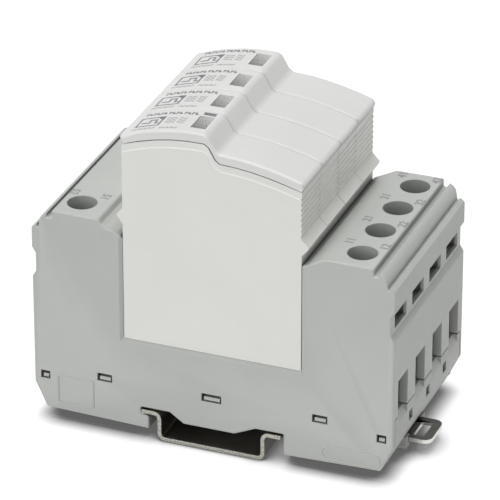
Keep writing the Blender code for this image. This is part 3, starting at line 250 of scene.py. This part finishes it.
# Raised lines round the two bare fields of the near wall: X and Z ends, corner radius.
RIDGE_RADIUS = 0.3 * MM
RIDGE_PROUD = 0.22 * MM
RIDGE_STEPS = 3
CORNER_STEPS = 6
SQUARE_FIELD = (-39.0 * MM, -30.0 * MM, 4.9 * MM, 12.2 * MM, 0.5 * MM)
PILL_FIELD = (27.6 * MM, 41.9 * MM, 3.7 * MM, 6.9 * MM, 1.5 * MM)

MODULES = 4

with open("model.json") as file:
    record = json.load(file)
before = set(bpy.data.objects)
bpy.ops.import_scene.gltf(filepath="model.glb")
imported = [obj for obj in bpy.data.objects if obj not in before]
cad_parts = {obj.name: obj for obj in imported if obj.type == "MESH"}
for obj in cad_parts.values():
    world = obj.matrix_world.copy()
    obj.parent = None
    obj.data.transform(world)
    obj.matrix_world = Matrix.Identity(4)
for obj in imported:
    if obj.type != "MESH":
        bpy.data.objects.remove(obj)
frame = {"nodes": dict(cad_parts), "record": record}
cad_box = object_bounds()
scene = bpy.context.scene
node_bodies = {
    node: body
    for body, nodes in frame["record"]["behaviour"]["bodies"].items()
    for node in nodes
}


def middle_of(node):
    """The middle of a node's box."""
    low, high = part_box(node)
    return (low + high) / 2


module_centres = [middle_of(f"plug_{i + 1}_housing").y for i in range(MODULES)]


def new_material(name):
    """A material, its node tree and its Principled shader."""
    material = bpy.data.materials.new(name)
    material.use_nodes = True
    return material, material.node_tree, material.node_tree.nodes["Principled BSDF"]


def noise(tree, scale, detail=3.0, roughness=0.55):
    """Noise in the piece's own space, in cycles per metre."""
    place = tree.nodes.new("ShaderNodeTexCoord")
    texture = tree.nodes.new("ShaderNodeTexNoise")
    texture.inputs["Scale"].default_value = scale
    texture.inputs["Detail"].default_value = detail
    texture.inputs["Roughness"].default_value = roughness
    tree.links.new(place.outputs["Object"], texture.inputs["Vector"])
    return texture.outputs["Fac"]


def ramp(tree, value, low, high, low_colour, high_colour):
    """A colour ramp between two colours."""
    node = tree.nodes.new("ShaderNodeValToRGB")
    node.color_ramp.elements[0].position = low
    node.color_ramp.elements[0].color = (*low_colour, 1.0)
    node.color_ramp.elements[1].position = high
    node.color_ramp.elements[1].color = (*high_colour, 1.0)
    tree.links.new(value, node.inputs["Fac"])
    return node.outputs["Color"]


def map_range(tree, value, low, high, to_low, to_high):
    """A value from low to high, spread from to_low to to_high."""
    node = tree.nodes.new("ShaderNodeMapRange")
    node.inputs["From Min"].default_value = low
    node.inputs["From Max"].default_value = high
    node.inputs["To Min"].default_value = to_low
    node.inputs["To Max"].default_value = to_high
    tree.links.new(value, node.inputs["Value"])
    return node.outputs["Result"]


def product(tree, first, second):
    """The product of an output and another output or a number."""
    node = tree.nodes.new("ShaderNodeMath")
    node.operation = "MULTIPLY"
    tree.links.new(first, node.inputs[0])
    if isinstance(second, float):
        node.inputs[1].default_value = second
    else:
        tree.links.new(second, node.inputs[1])
    return node.outputs["Value"]


def bump(tree, shader, *heights, grain=1.0):
    """Bump from pairs of a height output and its relief, one on top of the other."""
    last = None
    for value, (depth, strength) in heights:
        node = tree.nodes.new("ShaderNodeBump")
        node.inputs["Distance"].default_value = depth
        node.inputs["Strength"].default_value = strength * grain
        tree.links.new(value, node.inputs["Height"])
        if last is not None:
            tree.links.new(last, node.inputs["Normal"])
        last = node.outputs["Normal"]
    tree.links.new(last, shader.inputs["Normal"])


def vary_roughness(tree, shader, value, roughness, stray):
    """Roughness that strays to either side with a noise."""
    low, high = stray
    spread = map_range(tree, value, *NOISE_SPAN, roughness + low, roughness + high)
    tree.links.new(spread, shader.inputs["Roughness"])


def scaled(colour, factor):
    """A colour made darker or paler."""
    return tuple(channel * factor for channel in colour)


def tinted(tree, value, span, colour, tint):
    """A colour that noise makes darker and paler."""
    dark, pale = tint
    return ramp(tree, value, *span, scaled(colour, dark), scaled(colour, pale))


def moulded_plastic(name, colour, roughness, variation=0.03, grain=1.0):
    """Fine-textured moulded plastic: faintly cloudy, with a painted highlight on its sharp edges and
    painted shade in deep hollows.
    """
    material, tree, shader = new_material(name)
    tint = (1.0 - variation, 1.0 + variation * CLOUD_PALER)
    cloud = tinted(tree, noise(tree, CLOUD_SCALE), NOISE_SPAN, colour, tint)
    geometry = tree.nodes.new("ShaderNodeNewGeometry")
    # Painted highlight: sharp edges, found by pointiness, are made paler.
    edge = map_range(tree, geometry.outputs["Pointiness"], *EDGE_HIGHLIGHT_SPAN, 0.0, EDGE_HIGHLIGHT_SHARE)
    mix = tree.nodes.new("ShaderNodeMix")
    mix.data_type = "RGBA"
    tree.links.new(edge, mix.inputs["Factor"])
    tree.links.new(cloud, mix.inputs["A"])
    mix.inputs["B"].default_value = (*[min(channel * EDGE_HIGHLIGHT_PALER, PALEST) for channel in colour], 1.0)
    # Painted shade: ambient occlusion within a short reach darkens the colour in hollows.
    depth = tree.nodes.new("ShaderNodeAmbientOcclusion")
    depth.inputs["Distance"].default_value = HOLLOW_SHADE_REACH
    shaded = tree.nodes.new("ShaderNodeVectorMath")
    shaded.operation = "SCALE"
    painted_shade_factor = map_range(tree, depth.outputs["AO"], *HOLLOW_SHADE_SPAN, HOLLOW_SHADE_DARK, 1.0)
    tree.links.new(mix.outputs["Result"], shaded.inputs["Vector"])
    tree.links.new(painted_shade_factor, shaded.inputs["Scale"])
    tree.links.new(shaded.outputs["Vector"], shader.inputs["Base Color"])
    fine = noise(tree, FINE_SCALE, detail=2.0)
    wide = noise(tree, WIDE_SCALE)
    vary_roughness(tree, shader, wide, roughness, PLASTIC_STRAY)
    bump(tree, shader, (wide, WIDE_RELIEF), (fine, FINE_RELIEF), grain=grain)
    return material


def metal(name, colour, roughness, stretch=(1.0, 1.0, 1.0)):
    """Drawn or plated metal with fine streaks along one direction and cloudy plating."""
    material, tree, shader = new_material(name)
    shader.inputs["Metallic"].default_value = 1.0
    place = tree.nodes.new("ShaderNodeTexCoord")
    mapping = tree.nodes.new("ShaderNodeMapping")
    mapping.inputs["Scale"].default_value = stretch
    streaks = tree.nodes.new("ShaderNodeTexNoise")
    streaks.inputs["Scale"].default_value = STREAK_SCALE
    streaks.inputs["Detail"].default_value = 4.0
    tree.links.new(place.outputs["Object"], mapping.inputs["Vector"])
    tree.links.new(mapping.outputs["Vector"], streaks.inputs["Vector"])
    cloud = tinted(tree, noise(tree, PLATING_SCALE), PLATING_SPAN, colour, PLATING_TINT)
    tree.links.new(cloud, shader.inputs["Base Color"])
    vary_roughness(tree, shader, streaks.outputs["Fac"], roughness, METAL_STRAY)
    bump(tree, shader, (streaks.outputs["Fac"], STREAK_RELIEF))
    return material


def sheared_metal(name, colour):
    """A sheared edge: coarse grains, bright and dark, with torn relief."""
    material, tree, shader = new_material(name)
    grains = noise(tree, SHEAR_SCALE, roughness=0.7)
    mottled = tinted(tree, grains, SHEAR_SPAN, colour, SHEAR_TINT)
    tree.links.new(mottled, shader.inputs["Base Color"])
    shader.inputs["Metallic"].default_value = SHEAR_METALLIC
    tree.links.new(map_range(tree, grains, *NOISE_SPAN, *SHEAR_ROUGHNESS), shader.inputs["Roughness"])
    bump(tree, shader, (grains, SHEAR_RELIEF))
    return material


def print_ink(name, colour):
    """Laser or pad print: matt, a little uneven."""
    material, tree, shader = new_material(name)
    uneven = tinted(tree, noise(tree, INK_SCALE), NOISE_SPAN, colour, INK_TINT)
    tree.links.new(uneven, shader.inputs["Base Color"])
    shader.inputs["Roughness"].default_value = INK_ROUGHNESS
    return material


def lens_with_painted_shade(name):
    """A grey lens with painted shade, paler from its lower left corner to its upper right one, with a
    grained face.
    """
    material, tree, shader = new_material(name)
    place = tree.nodes.new("ShaderNodeTexCoord")
    split = tree.nodes.new("ShaderNodeSeparateXYZ")
    tree.links.new(place.outputs["Generated"], split.inputs["Vector"])
    # Painted shade: the colour darkens towards the lower left corner, as a shaded well would.
    across = product(tree, split.outputs["X"], LENS_ACROSS)
    along = product(tree, split.outputs["Y"], LENS_ALONG)
    total = tree.nodes.new("ShaderNodeMath")
    total.operation = "ADD"
    tree.links.new(across, total.inputs[0])
    tree.links.new(along, total.inputs[1])
    tint = ramp(tree, total.outputs["Value"], *LENS_SHADE_SPAN, LENS_SHADED, LENS_LIT)
    tree.links.new(tint, shader.inputs["Base Color"])
    grains = noise(tree, LENS_SCALE, detail=2.0)
    tree.links.new(map_range(tree, grains, *NOISE_SPAN, *LENS_ROUGHNESS), shader.inputs["Roughness"])
    shader.inputs["Transmission Weight"].default_value = LENS_TRANSMISSION
    shader.inputs["IOR"].default_value = LENS_IOR
    bump(tree, shader, (grains, LENS_RELIEF))
    return material


def varistor_coating(name):
    """Dipped epoxy: glossy, with runs and a grainy surface."""
    material, tree, shader = new_material(name)
    grains = noise(tree, COATING_SCALE)
    tint = ramp(tree, grains, *NOISE_SPAN, COATING_DARK, COATING_PALE)
    tree.links.new(tint, shader.inputs["Base Color"])
    shader.inputs["Roughness"].default_value = COATING_ROUGHNESS
    bump(tree, shader, (grains, COATING_RELIEF))
    return material


materials = {
    "base": moulded_plastic("base_grey", (0.43, 0.444, 0.423), 0.5, variation=0.035, grain=1.6),
    "tray": moulded_plastic("tray_grey", (0.427, 0.441, 0.42), 0.53, variation=0.035, grain=1.4),
    "plug": moulded_plastic("plug_white", (0.672, 0.672, 0.645), 0.46, variation=0.02),
    # Painted shade: the caps are a darker copy of the plugs' white, to offset the stronger light on their
    # upward faces.
    "cap": moulded_plastic("cap_white_painted_shade", (0.638, 0.638, 0.628), 0.46, variation=0.02),
    # Painted highlight: the bead is a paler white than the plug.
    "bead": moulded_plastic("plug_bead_painted_highlight", (0.76, 0.76, 0.74), 0.4, variation=0.02),
    "steel": metal("plated_steel", (0.46, 0.46, 0.45), 0.34),
    "latch": metal("latch_steel", (0.17, 0.17, 0.16), 0.4, stretch=(0.08, 1.0, 1.0)),
    "latch_cut": metal("latch_cut_edge", (0.72, 0.72, 0.69), 0.34, stretch=(1.0, 1.0, 0.2)),
    "rail": metal("rail_steel", (0.29, 0.275, 0.25), 0.34, stretch=(1.0, 0.06, 1.0)),
    "rail_cut": sheared_metal("rail_cut_face", (0.42, 0.42, 0.37)),
    "spring": metal("spring_wire", (0.5, 0.5, 0.5), 0.28),
    "copper": metal("contact_copper", (0.72, 0.5, 0.36), 0.3, stretch=(0.1, 1.0, 1.0)),
    "varistor": varistor_coating("varistor_coat"),
    "window": lens_with_painted_shade("lens_painted_shade"),
    "flag": moulded_plastic("flag_grey_green", (0.2, 0.33, 0.22), 0.5),
    "ink": print_ink("grey_ink", (0.16, 0.16, 0.17)),
    "pale_ink": print_ink("pale_ink", (0.33, 0.33, 0.34)),
    "terminal_ink": print_ink("terminal_ink", (0.25, 0.25, 0.26)),
}


def dress_node(node, material):
    """The CAD node keeps its shape and gets its finish."""
    shown = frame["nodes"][node]
    shown.data.materials.clear()
    shown.data.materials.append(material)


def dress_cad():
    """Finishes for the nodes that keep their own meshes, by a part of their names."""
    looks = {
        "foot_latch_spring": "spring", "disconnect_spring": "spring",
        "terminal_screw": "steel", "terminal_clamp": "steel",
        "earth_bar": "copper", "line_contact": "copper", "disconnect_arm": "copper", "blade": "copper",
        "varistor": "varistor", "flag": "flag",
    }
    for node in frame["nodes"]:
        for part, look in looks.items():
            if part in node:
                dress_node(node, materials[look])


def join_flat_faces(edit):
    """Welds double points and makes one face of what lies in one plane."""
    bmesh.ops.remove_doubles(edit, verts=edit.verts, dist=WELD)
    bmesh.ops.dissolve_limit(
        edit, angle_limit=math.radians(FLAT_ANGLE), use_dissolve_boundaries=False,
        verts=edit.verts, edges=edit.edges,
    )


def rounded_copy(node, material, width, reshape=None):
    """A piece with the node's own shape and its edges rounded, which stands for the node."""
    mesh = frame["nodes"][node].data.copy()
    edit = bmesh.new()
    edit.from_mesh(mesh)
    join_flat_faces(edit)
    if reshape:
        reshape(edit)
    join_flat_faces(edit)
    edit.to_mesh(mesh)
    edit.free()
    mesh.materials.clear()
    mesh.materials.append(material)
    mesh.shade_smooth()
    piece = bpy.data.objects.new(f"{node}_shell", mesh)
    scene.collection.objects.link(piece)
    rounding = piece.modifiers.new("rounded edges", "BEVEL")
    rounding.width = width
    rounding.segments = ROUND_STEPS
    rounding.limit_method = "ANGLE"
    rounding.angle_limit = math.radians(SHARP_ANGLE)
    rounding.use_clamp_overlap = True
    flat_faces = piece.modifiers.new("flat faces", "WEIGHTED_NORMAL")
    flat_faces.mode = "FACE_AREA"
    flat_faces.weight = LARGEST_FACE_WEIGHT
    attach(piece, node_bodies[node])
    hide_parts(node)
    return piece


def piece_from(edit, name, material, body):
    """A new piece from a bmesh, riding on a body."""
    mesh = bpy.data.meshes.new(name)
    edit.to_mesh(mesh)
    edit.free()
    mesh.materials.append(material)
    piece = bpy.data.objects.new(name, mesh)
    scene.collection.objects.link(piece)
    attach(piece, body)
    return piece


def surface_of(node):
    """A function that gives the height of a node's upper surface at a point."""
    mesh = frame["nodes"][node].data
    tree = BVHTree.FromPolygons(
        [vertex.co for vertex in mesh.vertices], [face.vertices for face in mesh.polygons],
    )
    above = cad_box[1][2] + RAY_START

    def height(x, y):
        hit = tree.ray_cast(Vector((x, y, above)), Vector((0.0, 0.0, -1.0)))[0]
        return hit.z
    return height


def shape_base(edit):
    """Widens the chamfer round the bay's opening in the side walls."""
    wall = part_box("base_housing")[1].y
    for vertex in edit.verts:
        place = vertex.co
        depth = wall - abs(place.y)
        if depth < CLOSE and abs(abs(place.x) - BAY_OUTER[0]) < CLOSE:
            place.x += math.copysign(CHAMFER_OUT, place.x)
            if abs(place.z - BAY_OUTER[1]) < CLOSE:
                place.z -= CHAMFER_OUT
        in_bay = abs(place.x) < BAY_INNER[0] + CLOSE
        at_edge = abs(abs(place.x) - BAY_INNER[0]) < CLOSE or place.z < BAY_INNER[1]
        if abs(depth - CAD_CHAMFER) < CLOSE and in_bay and at_edge and place.z > BAY_OUTER[1]:
            place.y -= math.copysign(CHAMFER_BACK, place.y)


def shape_catches(edit):
    """Lowers the catches' noses, so that a dark gap shows between them and their windows' upper edges."""
    tops = set()
    for face in edit.faces:
        if all(abs(vertex.co.y) > NOSE_TIP for vertex in face.verts):
            middle = face.calc_center_median().z
            tops.update(vertex for vertex in face.verts if vertex.co.z > middle)
    for vertex in list(tops):
        vertex.co.y -= math.copysign(NOSE_BACK, vertex.co.y)
        for edge in vertex.link_edges:
            other = edge.other_vert(vertex)
            if abs(other.co.z - vertex.co.z) < LEVEL and other not in tops:
                other.co.z -= NOSE_DROP
    for vertex in tops:
        vertex.co.z -= NOSE_DROP


def shape_plug(edit, centre):
    """Closes the gaps to the bay and to the next plug, makes the sides flush and the ribs shallower."""
    for vertex in edit.verts:
        place = vertex.co
        across = place.y - centre
        if abs(place.x - RIB_VALLEY) < CLOSE and place.z > RIB_FOOT:
            place.x += RIB_SHALLOWER
        if abs(place.x) > WALL_START:
            place.x += math.copysign(WALL_OUT, place.x)
        if abs(across) > SIDE_START:
            place.y = centre + math.copysign(SIDE_LEVEL, across)
        if place.z < PLUG_FOOT[0] and abs(across) > SIDE_START:
            place.z = PLUG_FOOT[1]


def shape_cap(edit, centre):
    """Brings the skirt's lower edge down to the body and its sides closer to the next cap."""
    side = max(abs(vertex.co.y - centre) for vertex in edit.verts) - LEVEL
    low = set()
    for face in edit.faces:
        if face.normal.z < LIP_NORMAL:
            low.update(vertex for vertex in face.verts if abs(vertex.co.y - centre) > side)
    for vertex in edit.verts:
        place = vertex.co
        across = place.y - centre
        if abs(across) > side:
            place.y += math.copysign(CAP_SIDE_OUT, across)
        if vertex in low:
            place.z -= CAP_LIP_DOWN


def finish_cut_faces(piece, material, is_cut):
    """The faces where the sheet was sheared show bare metal."""
    piece.data.materials.append(material)
    for face in piece.data.polygons:
        if is_cut(face.normal):
            face.material_index = 1


def add_bead(number, centre):
    """The wedge along the upper line of each side panel, paler than the plug as a painted highlight."""
    height = surface_of(f"plug_{number}_cap")
    start, end = BEAD_ENDS
    count = round((end - start) / BEAD_STEP)
    edit = bmesh.new()
    for side in (-1, 1):
        back = centre + side * (SIDE_LEVEL - BEAD_SUNK)
        front = centre + side * (SIDE_LEVEL + BEAD_PROUD)
        rows = []
        for i in range(count + 1):
            x = start + (end - start) * i / count
            low = height(x, centre + side * BEAD_LINE) - BEAD_DEPTH
            rows.append([
                edit.verts.new((x, back, low)), edit.verts.new((x, front, low)),
                edit.verts.new((x, back, low + BEAD_WIDTH)),
            ])
        for first, second in zip(rows, rows[1:]):
            for i in range(3):
                j = (i + 1) % 3
                edit.faces.new((first[i], second[i], second[j], first[j]))
        edit.faces.new(rows[0])
        edit.faces.new(rows[-1])
    bmesh.ops.recalc_face_normals(edit, faces=edit.faces)
    piece_from(edit, f"plug_{number}_panel_bead", materials["bead"], f"plug_{number}")


def add_lens(number, centre):
    """The lens that fills the cap's hole, in place of the window node."""
    node = f"plug_{number}_window"
    low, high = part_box(node)
    height = surface_of(f"plug_{number}_cap")
    top = height(low.x - LENS_BESIDE, centre) - LENS_SUNK
    middle = (low + high) / 2
    middle.z = top - LENS_SHEET / 2
    size = high - low + Vector((LENS_WIDER, LENS_WIDER, 0.0))
    size.z = LENS_SHEET
    edit = bmesh.new()
    bmesh.ops.create_cube(edit, size=1.0)
    for vertex in edit.verts:
        vertex.co = middle + vertex.co * size
    lens = piece_from(edit, f"{node}_lens", materials["window"], node_bodies[node])
    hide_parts(node)


def make_shells():
    """The pieces whose rounded edges catch the light."""
    rounded_copy("base_housing", materials["base"], BASE_ROUND, shape_base)
    rounded_copy("base_tray", materials["tray"], TRAY_ROUND, shape_catches)
    latch = rounded_copy("foot_latch", materials["latch"], METAL_ROUND)
    finish_cut_faces(latch, materials["latch_cut"], lambda normal: abs(normal.z) < LATCH_CUT_BELOW)
    rail = rounded_copy("mounting_rail_piece", materials["rail"], METAL_ROUND)
    finish_cut_faces(rail, materials["rail_cut"], lambda normal: abs(normal.y) > RAIL_CUT_ABOVE)
    for number, centre in enumerate(module_centres, 1):
        rounded_copy(
            f"plug_{number}_housing", materials["plug"], PLUG_ROUND,
            lambda edit: shape_plug(edit, centre),
        )
        rounded_copy(
            f"plug_{number}_cap", materials["cap"], CAP_ROUND,
            lambda edit: shape_cap(edit, centre),
        )
        add_lens(number, centre)
        add_bead(number, centre)


def add_patch(edit, height, corners):
    """A thin closed slab over a surface; corners are four (x, y) points, counterclockwise."""
    a, b, c, d = [Vector(corner) for corner in corners]
    count = max(1, math.ceil((b - a).length / PRINT_STEP))
    columns = []
    for i in range(count + 1):
        share = i / count
        near = a.lerp(b, share)
        far = d.lerp(c, share)
        columns.append([
            edit.verts.new((near.x, near.y, height(*near) - PRINT_SUNK)),
            edit.verts.new((far.x, far.y, height(*far) - PRINT_SUNK)),
            edit.verts.new((far.x, far.y, height(*far) + PRINT_HEIGHT)),
            edit.verts.new((near.x, near.y, height(*near) + PRINT_HEIGHT)),
        ])
    for first, second in zip(columns, columns[1:]):
        for i in range(4):
            j = (i + 1) % 4
            edit.faces.new((first[i], second[i], second[j], first[j]))
    edit.faces.new(list(reversed(columns[0])))
    edit.faces.new(columns[-1])
    bmesh.ops.recalc_face_normals(edit, faces=edit.faces)


def add_bar(edit, height, x0, x1, y0, y1):
    """A thin slab over a box in X and Y."""
    add_patch(edit, height, [(x0, y0), (x1, y0), (x1, y1), (x0, y1)])


def add_frame_lines(edit, height, x0, x1, y0, y1, line):
    """The outline of a box as four bars."""
    add_bar(edit, height, x0, x1, y0, y0 + line)
    add_bar(edit, height, x0, x1, y1 - line, y1)
    add_bar(edit, height, x0, x0 + line, y0 + line, y1 - line)
    add_bar(edit, height, x1 - line, x1, y0 + line, y1 - line)


def print_on_cap(number, centre):
    """The field of plain bars and boxes printed on the dome of a plug."""
    height = surface_of(f"plug_{number}_cap")
    dark = bmesh.new()
    pale = bmesh.new()

    def bar(edit, x0, x1, y0, y1):
        """A bar of print, with its Y ends from the plug's middle."""
        add_bar(edit, height, x0 * MM, x1 * MM, centre + y0 * MM, centre + y1 * MM)

    def row_of(edit, x, groups, length, gap, y0, y1):
        """Groups of short bars; each bar is cut into an upright and a foot, like dense small print."""
        for count in groups:
            for i in range(count):
                bar(edit, x, x + length * UPRIGHT, y0, y1)
                foot = y0 if i % 2 else (y0 + y1) / 2
                bar(edit, x + length * UPRIGHT, x + length, foot, foot + (y1 - y0) * FOOT)
                x += length + gap
            x += gap * GROUP_GAP

    row_of(dark, *HEADING)
    left, right, low, high = SYMBOL_BOX
    add_frame_lines(
        dark, height, left * MM, right * MM, centre + low * MM, centre + high * MM, SYMBOL_LINE * MM,
    )
    add_patch(dark, height, [
        ((right + x) * MM, centre + (high + y) * MM) for x, y in SYMBOL_CORNER
    ])
    for box in SYMBOL_BARS:
        bar(dark, *box)
    length, gap, tall = COLUMN_BAR
    for x, count in COLUMNS:
        for y in COLUMN_LINES:
            row_of(pale, x, (count,), length, gap, y, y + tall)
    for x, count in CAPTIONS:
        row_of(pale, x, (count,), *CAPTION_BAR)
    if number == 1:
        bar(dark, *FIRST_MARK)
    body = f"plug_{number}"
    piece_from(dark, f"{body}_print_dark", materials["ink"], body)
    piece_from(pale, f"{body}_print_pale", materials["pale_ink"], body)


def rounded_path(x0, x1, z0, z1, radius):
    """Points round a box with rounded corners, in X and Z."""
    points = []
    corners = (
        (x1 - radius, z1 - radius, 0), (x0 + radius, z1 - radius, 90),
        (x0 + radius, z0 + radius, 180), (x1 - radius, z0 + radius, 270),
    )
    for x, z, start in corners:
        for i in range(CORNER_STEPS + 1):
            angle = math.radians(start + 90 * i / CORNER_STEPS)
            points.append((x + radius * math.cos(angle), z + radius * math.sin(angle)))
    return points


def wall_ridge(name, x0, x1, z0, z1, radius):
    """A raised moulded line round a bare field of the near wall."""
    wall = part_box("base_housing")[0].y
    path = bpy.data.curves.new(name, "CURVE")
    path.dimensions = "3D"
    path.bevel_depth = RIDGE_RADIUS
    path.bevel_resolution = RIDGE_STEPS
    points = rounded_path(x0, x1, z0, z1, radius)
    spline = path.splines.new("POLY")
    spline.points.add(len(points) - 1)
    spline.use_cyclic_u = True
    for point, (x, z) in zip(spline.points, points):
        point.co = (x, wall + RIDGE_RADIUS - RIDGE_PROUD, z, 1.0)
    path.materials.append(materials["base"])
    ridge = bpy.data.objects.new(name, path)
    scene.collection.objects.link(ridge)
    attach(ridge, "base")


def terminal_number(label, name, place):
    """A plain number printed on a tower's strip, read from the terminal's own end."""
    text = bpy.data.curves.new(name, "FONT")
    text.body = label
    text.size = NUMBER_HEIGHT
    text.extrude = (PRINT_HEIGHT + PRINT_SUNK) / 2
    text.offset = NUMBER_WEIGHT
    text.align_x = "CENTER"
    text.align_y = "CENTER"
    text.materials.append(materials["terminal_ink"])
    piece = bpy.data.objects.new(name, text)
    piece.location = place
    piece.rotation_euler = (0.0, 0.0, math.radians(90.0 if place[0] > 0 else -90.0))
    scene.collection.objects.link(piece)
    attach(piece, "base")


def number_terminals():
    """Two numbers at each screw, on the side towards the plugs and on the outer side."""
    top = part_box("base_housing")[1].z + (PRINT_HEIGHT - PRINT_SUNK) / 2
    for i in range(MODULES + 1):
        screw = middle_of(f"terminal_screw_{i + 1}")
        if screw.x > 0:
            places = (("inner", screw.x - NUMBER_INWARD), ("outer", screw.x + NUMBER_OUTWARD))
        else:
            places = (("inner", screw.x + NUMBER_OUTWARD), ("outer", screw.x - NUMBER_OUTWARD))
        for j, (label, x) in enumerate(places):
            place = (x, screw.y + NUMBER_ASIDE, top)
            terminal_number(f"{i + 1}{j + 1}", f"number_{i + 1}_{label}", place)


def seen_directly(tree):
    """1 for rays from the camera and for mirrored or transmitted rays, 0 for light that is scattered."""
    rays = tree.nodes.new("ShaderNodeLightPath")
    seen = rays.outputs["Is Camera Ray"]
    for other in ("Is Glossy Ray", "Is Transmission Ray"):
        either = tree.nodes.new("ShaderNodeMath")
        either.operation = "MAXIMUM"
        tree.links.new(seen, either.inputs[0])
        tree.links.new(rays.outputs[other], either.inputs[1])
        seen = either.outputs["Value"]
    return seen


def make_stage():
    """A pale floor that runs past every view, with a painted contact shadow round the part."""
    floor_mesh = bpy.data.meshes.new("floor")
    edit = bmesh.new()
    bmesh.ops.create_grid(edit, x_segments=1, y_segments=1, size=FLOOR_SIZE)
    edit.to_mesh(floor_mesh)
    edit.free()
    floor = bpy.data.objects.new("floor", floor_mesh)
    floor.location.z = -FLOOR_DROP
    scene.collection.objects.link(floor)
    material, tree, shader = new_material("floor_white")
    # Painted shadow: ambient occlusion near the part darkens the floor's glow and its colour as seen.
    near = tree.nodes.new("ShaderNodeAmbientOcclusion")
    near.inputs["Distance"].default_value = PAINTED_SHADOW_REACH
    painted_contact_shadow = map_range(tree, near.outputs["AO"], *PAINTED_SHADOW_SPAN, PAINTED_SHADOW_DARK, 1.0)
    seen = seen_directly(tree)
    shade = tree.nodes.new("ShaderNodeMix")
    tree.links.new(seen, shade.inputs["Factor"])
    shade.inputs["A"].default_value = FLOOR_BOUNCE
    tree.links.new(product(tree, painted_contact_shadow, FLOOR_SHADE), shade.inputs["B"])
    tree.links.new(shade.outputs["Result"], shader.inputs["Base Color"])
    glow = product(tree, product(tree, painted_contact_shadow, FLOOR_GLOW), seen)
    shader.inputs["Emission Color"].default_value = (1.0, 1.0, 1.0, 1.0)
    tree.links.new(glow, shader.inputs["Emission Strength"])
    shader.inputs["Roughness"].default_value = 1.0
    shader.inputs["Specular IOR Level"].default_value = 0.0
    floor_mesh.materials.append(material)


def add_sun(name, direction, strength, angle):
    """A distant soft lamp that shines from the direction given."""
    sun = bpy.data.lights.new(name, "SUN")
    sun.energy = strength
    sun.angle = math.radians(angle)
    lamp = bpy.data.objects.new(name, sun)
    lamp.rotation_euler = Vector(direction).to_track_quat("Z", "Y").to_euler()
    scene.collection.objects.link(lamp)


def make_light():
    """Two soft lamps and a plain surround, which is white where it is seen."""
    add_sun("key", KEY_DIRECTION, KEY_STRENGTH, KEY_ANGLE)
    add_sun("fill", FILL_DIRECTION, FILL_STRENGTH, FILL_ANGLE)
    world = bpy.data.worlds.new("surround")
    world.use_nodes = True
    tree = world.node_tree
    background = tree.nodes["Background"]
    background.inputs["Color"].default_value = (1.0, 1.0, 1.0, 1.0)
    place = tree.nodes.new("ShaderNodeTexCoord")
    split = tree.nodes.new("ShaderNodeSeparateXYZ")
    tree.links.new(place.outputs["Generated"], split.inputs["Vector"])
    surround = map_range(tree, split.outputs["Z"], 0.0, 1.0, SURROUND_LOW, SURROUND_HIGH)
    mix = tree.nodes.new("ShaderNodeMix")
    tree.links.new(seen_directly(tree), mix.inputs["Factor"])
    tree.links.new(surround, mix.inputs["A"])
    mix.inputs["B"].default_value = BACKGROUND
    tree.links.new(mix.outputs["Result"], background.inputs["Strength"])
    scene.world = world


def make_camera():
    """The photograph's viewing angle."""
    azimuth = math.radians(CAMERA_AZIMUTH)
    elevation = math.radians(CAMERA_ELEVATION)
    back = Vector((
        math.sin(azimuth) * math.cos(elevation),
        -math.cos(azimuth) * math.cos(elevation),
        math.sin(elevation),
    ))
    lens = bpy.data.cameras.new("camera")
    lens.lens = CAMERA_LENS
    lens.sensor_width = SENSOR_WIDTH
    lens.clip_start = CLIP_START
    lens.clip_end = CLIP_END
    camera = bpy.data.objects.new("camera", lens)
    camera.location = Vector(CAMERA_TARGET) + back * CAMERA_DISTANCE
    camera.rotation_euler = back.to_track_quat("Z", "Y").to_euler()
    scene.collection.objects.link(camera)
    scene.camera = camera


scene.view_settings.view_transform = "Standard"
make_camera()
make_stage()
make_light()
dress_cad()
make_shells()
for module, middle_y in enumerate(module_centres, 1):
    print_on_cap(module, middle_y)
number_terminals()
wall_ridge("near_square_ridge", *SQUARE_FIELD)
wall_ridge("near_pill_ridge", *PILL_FIELD)
bpy.context.view_layer.update()
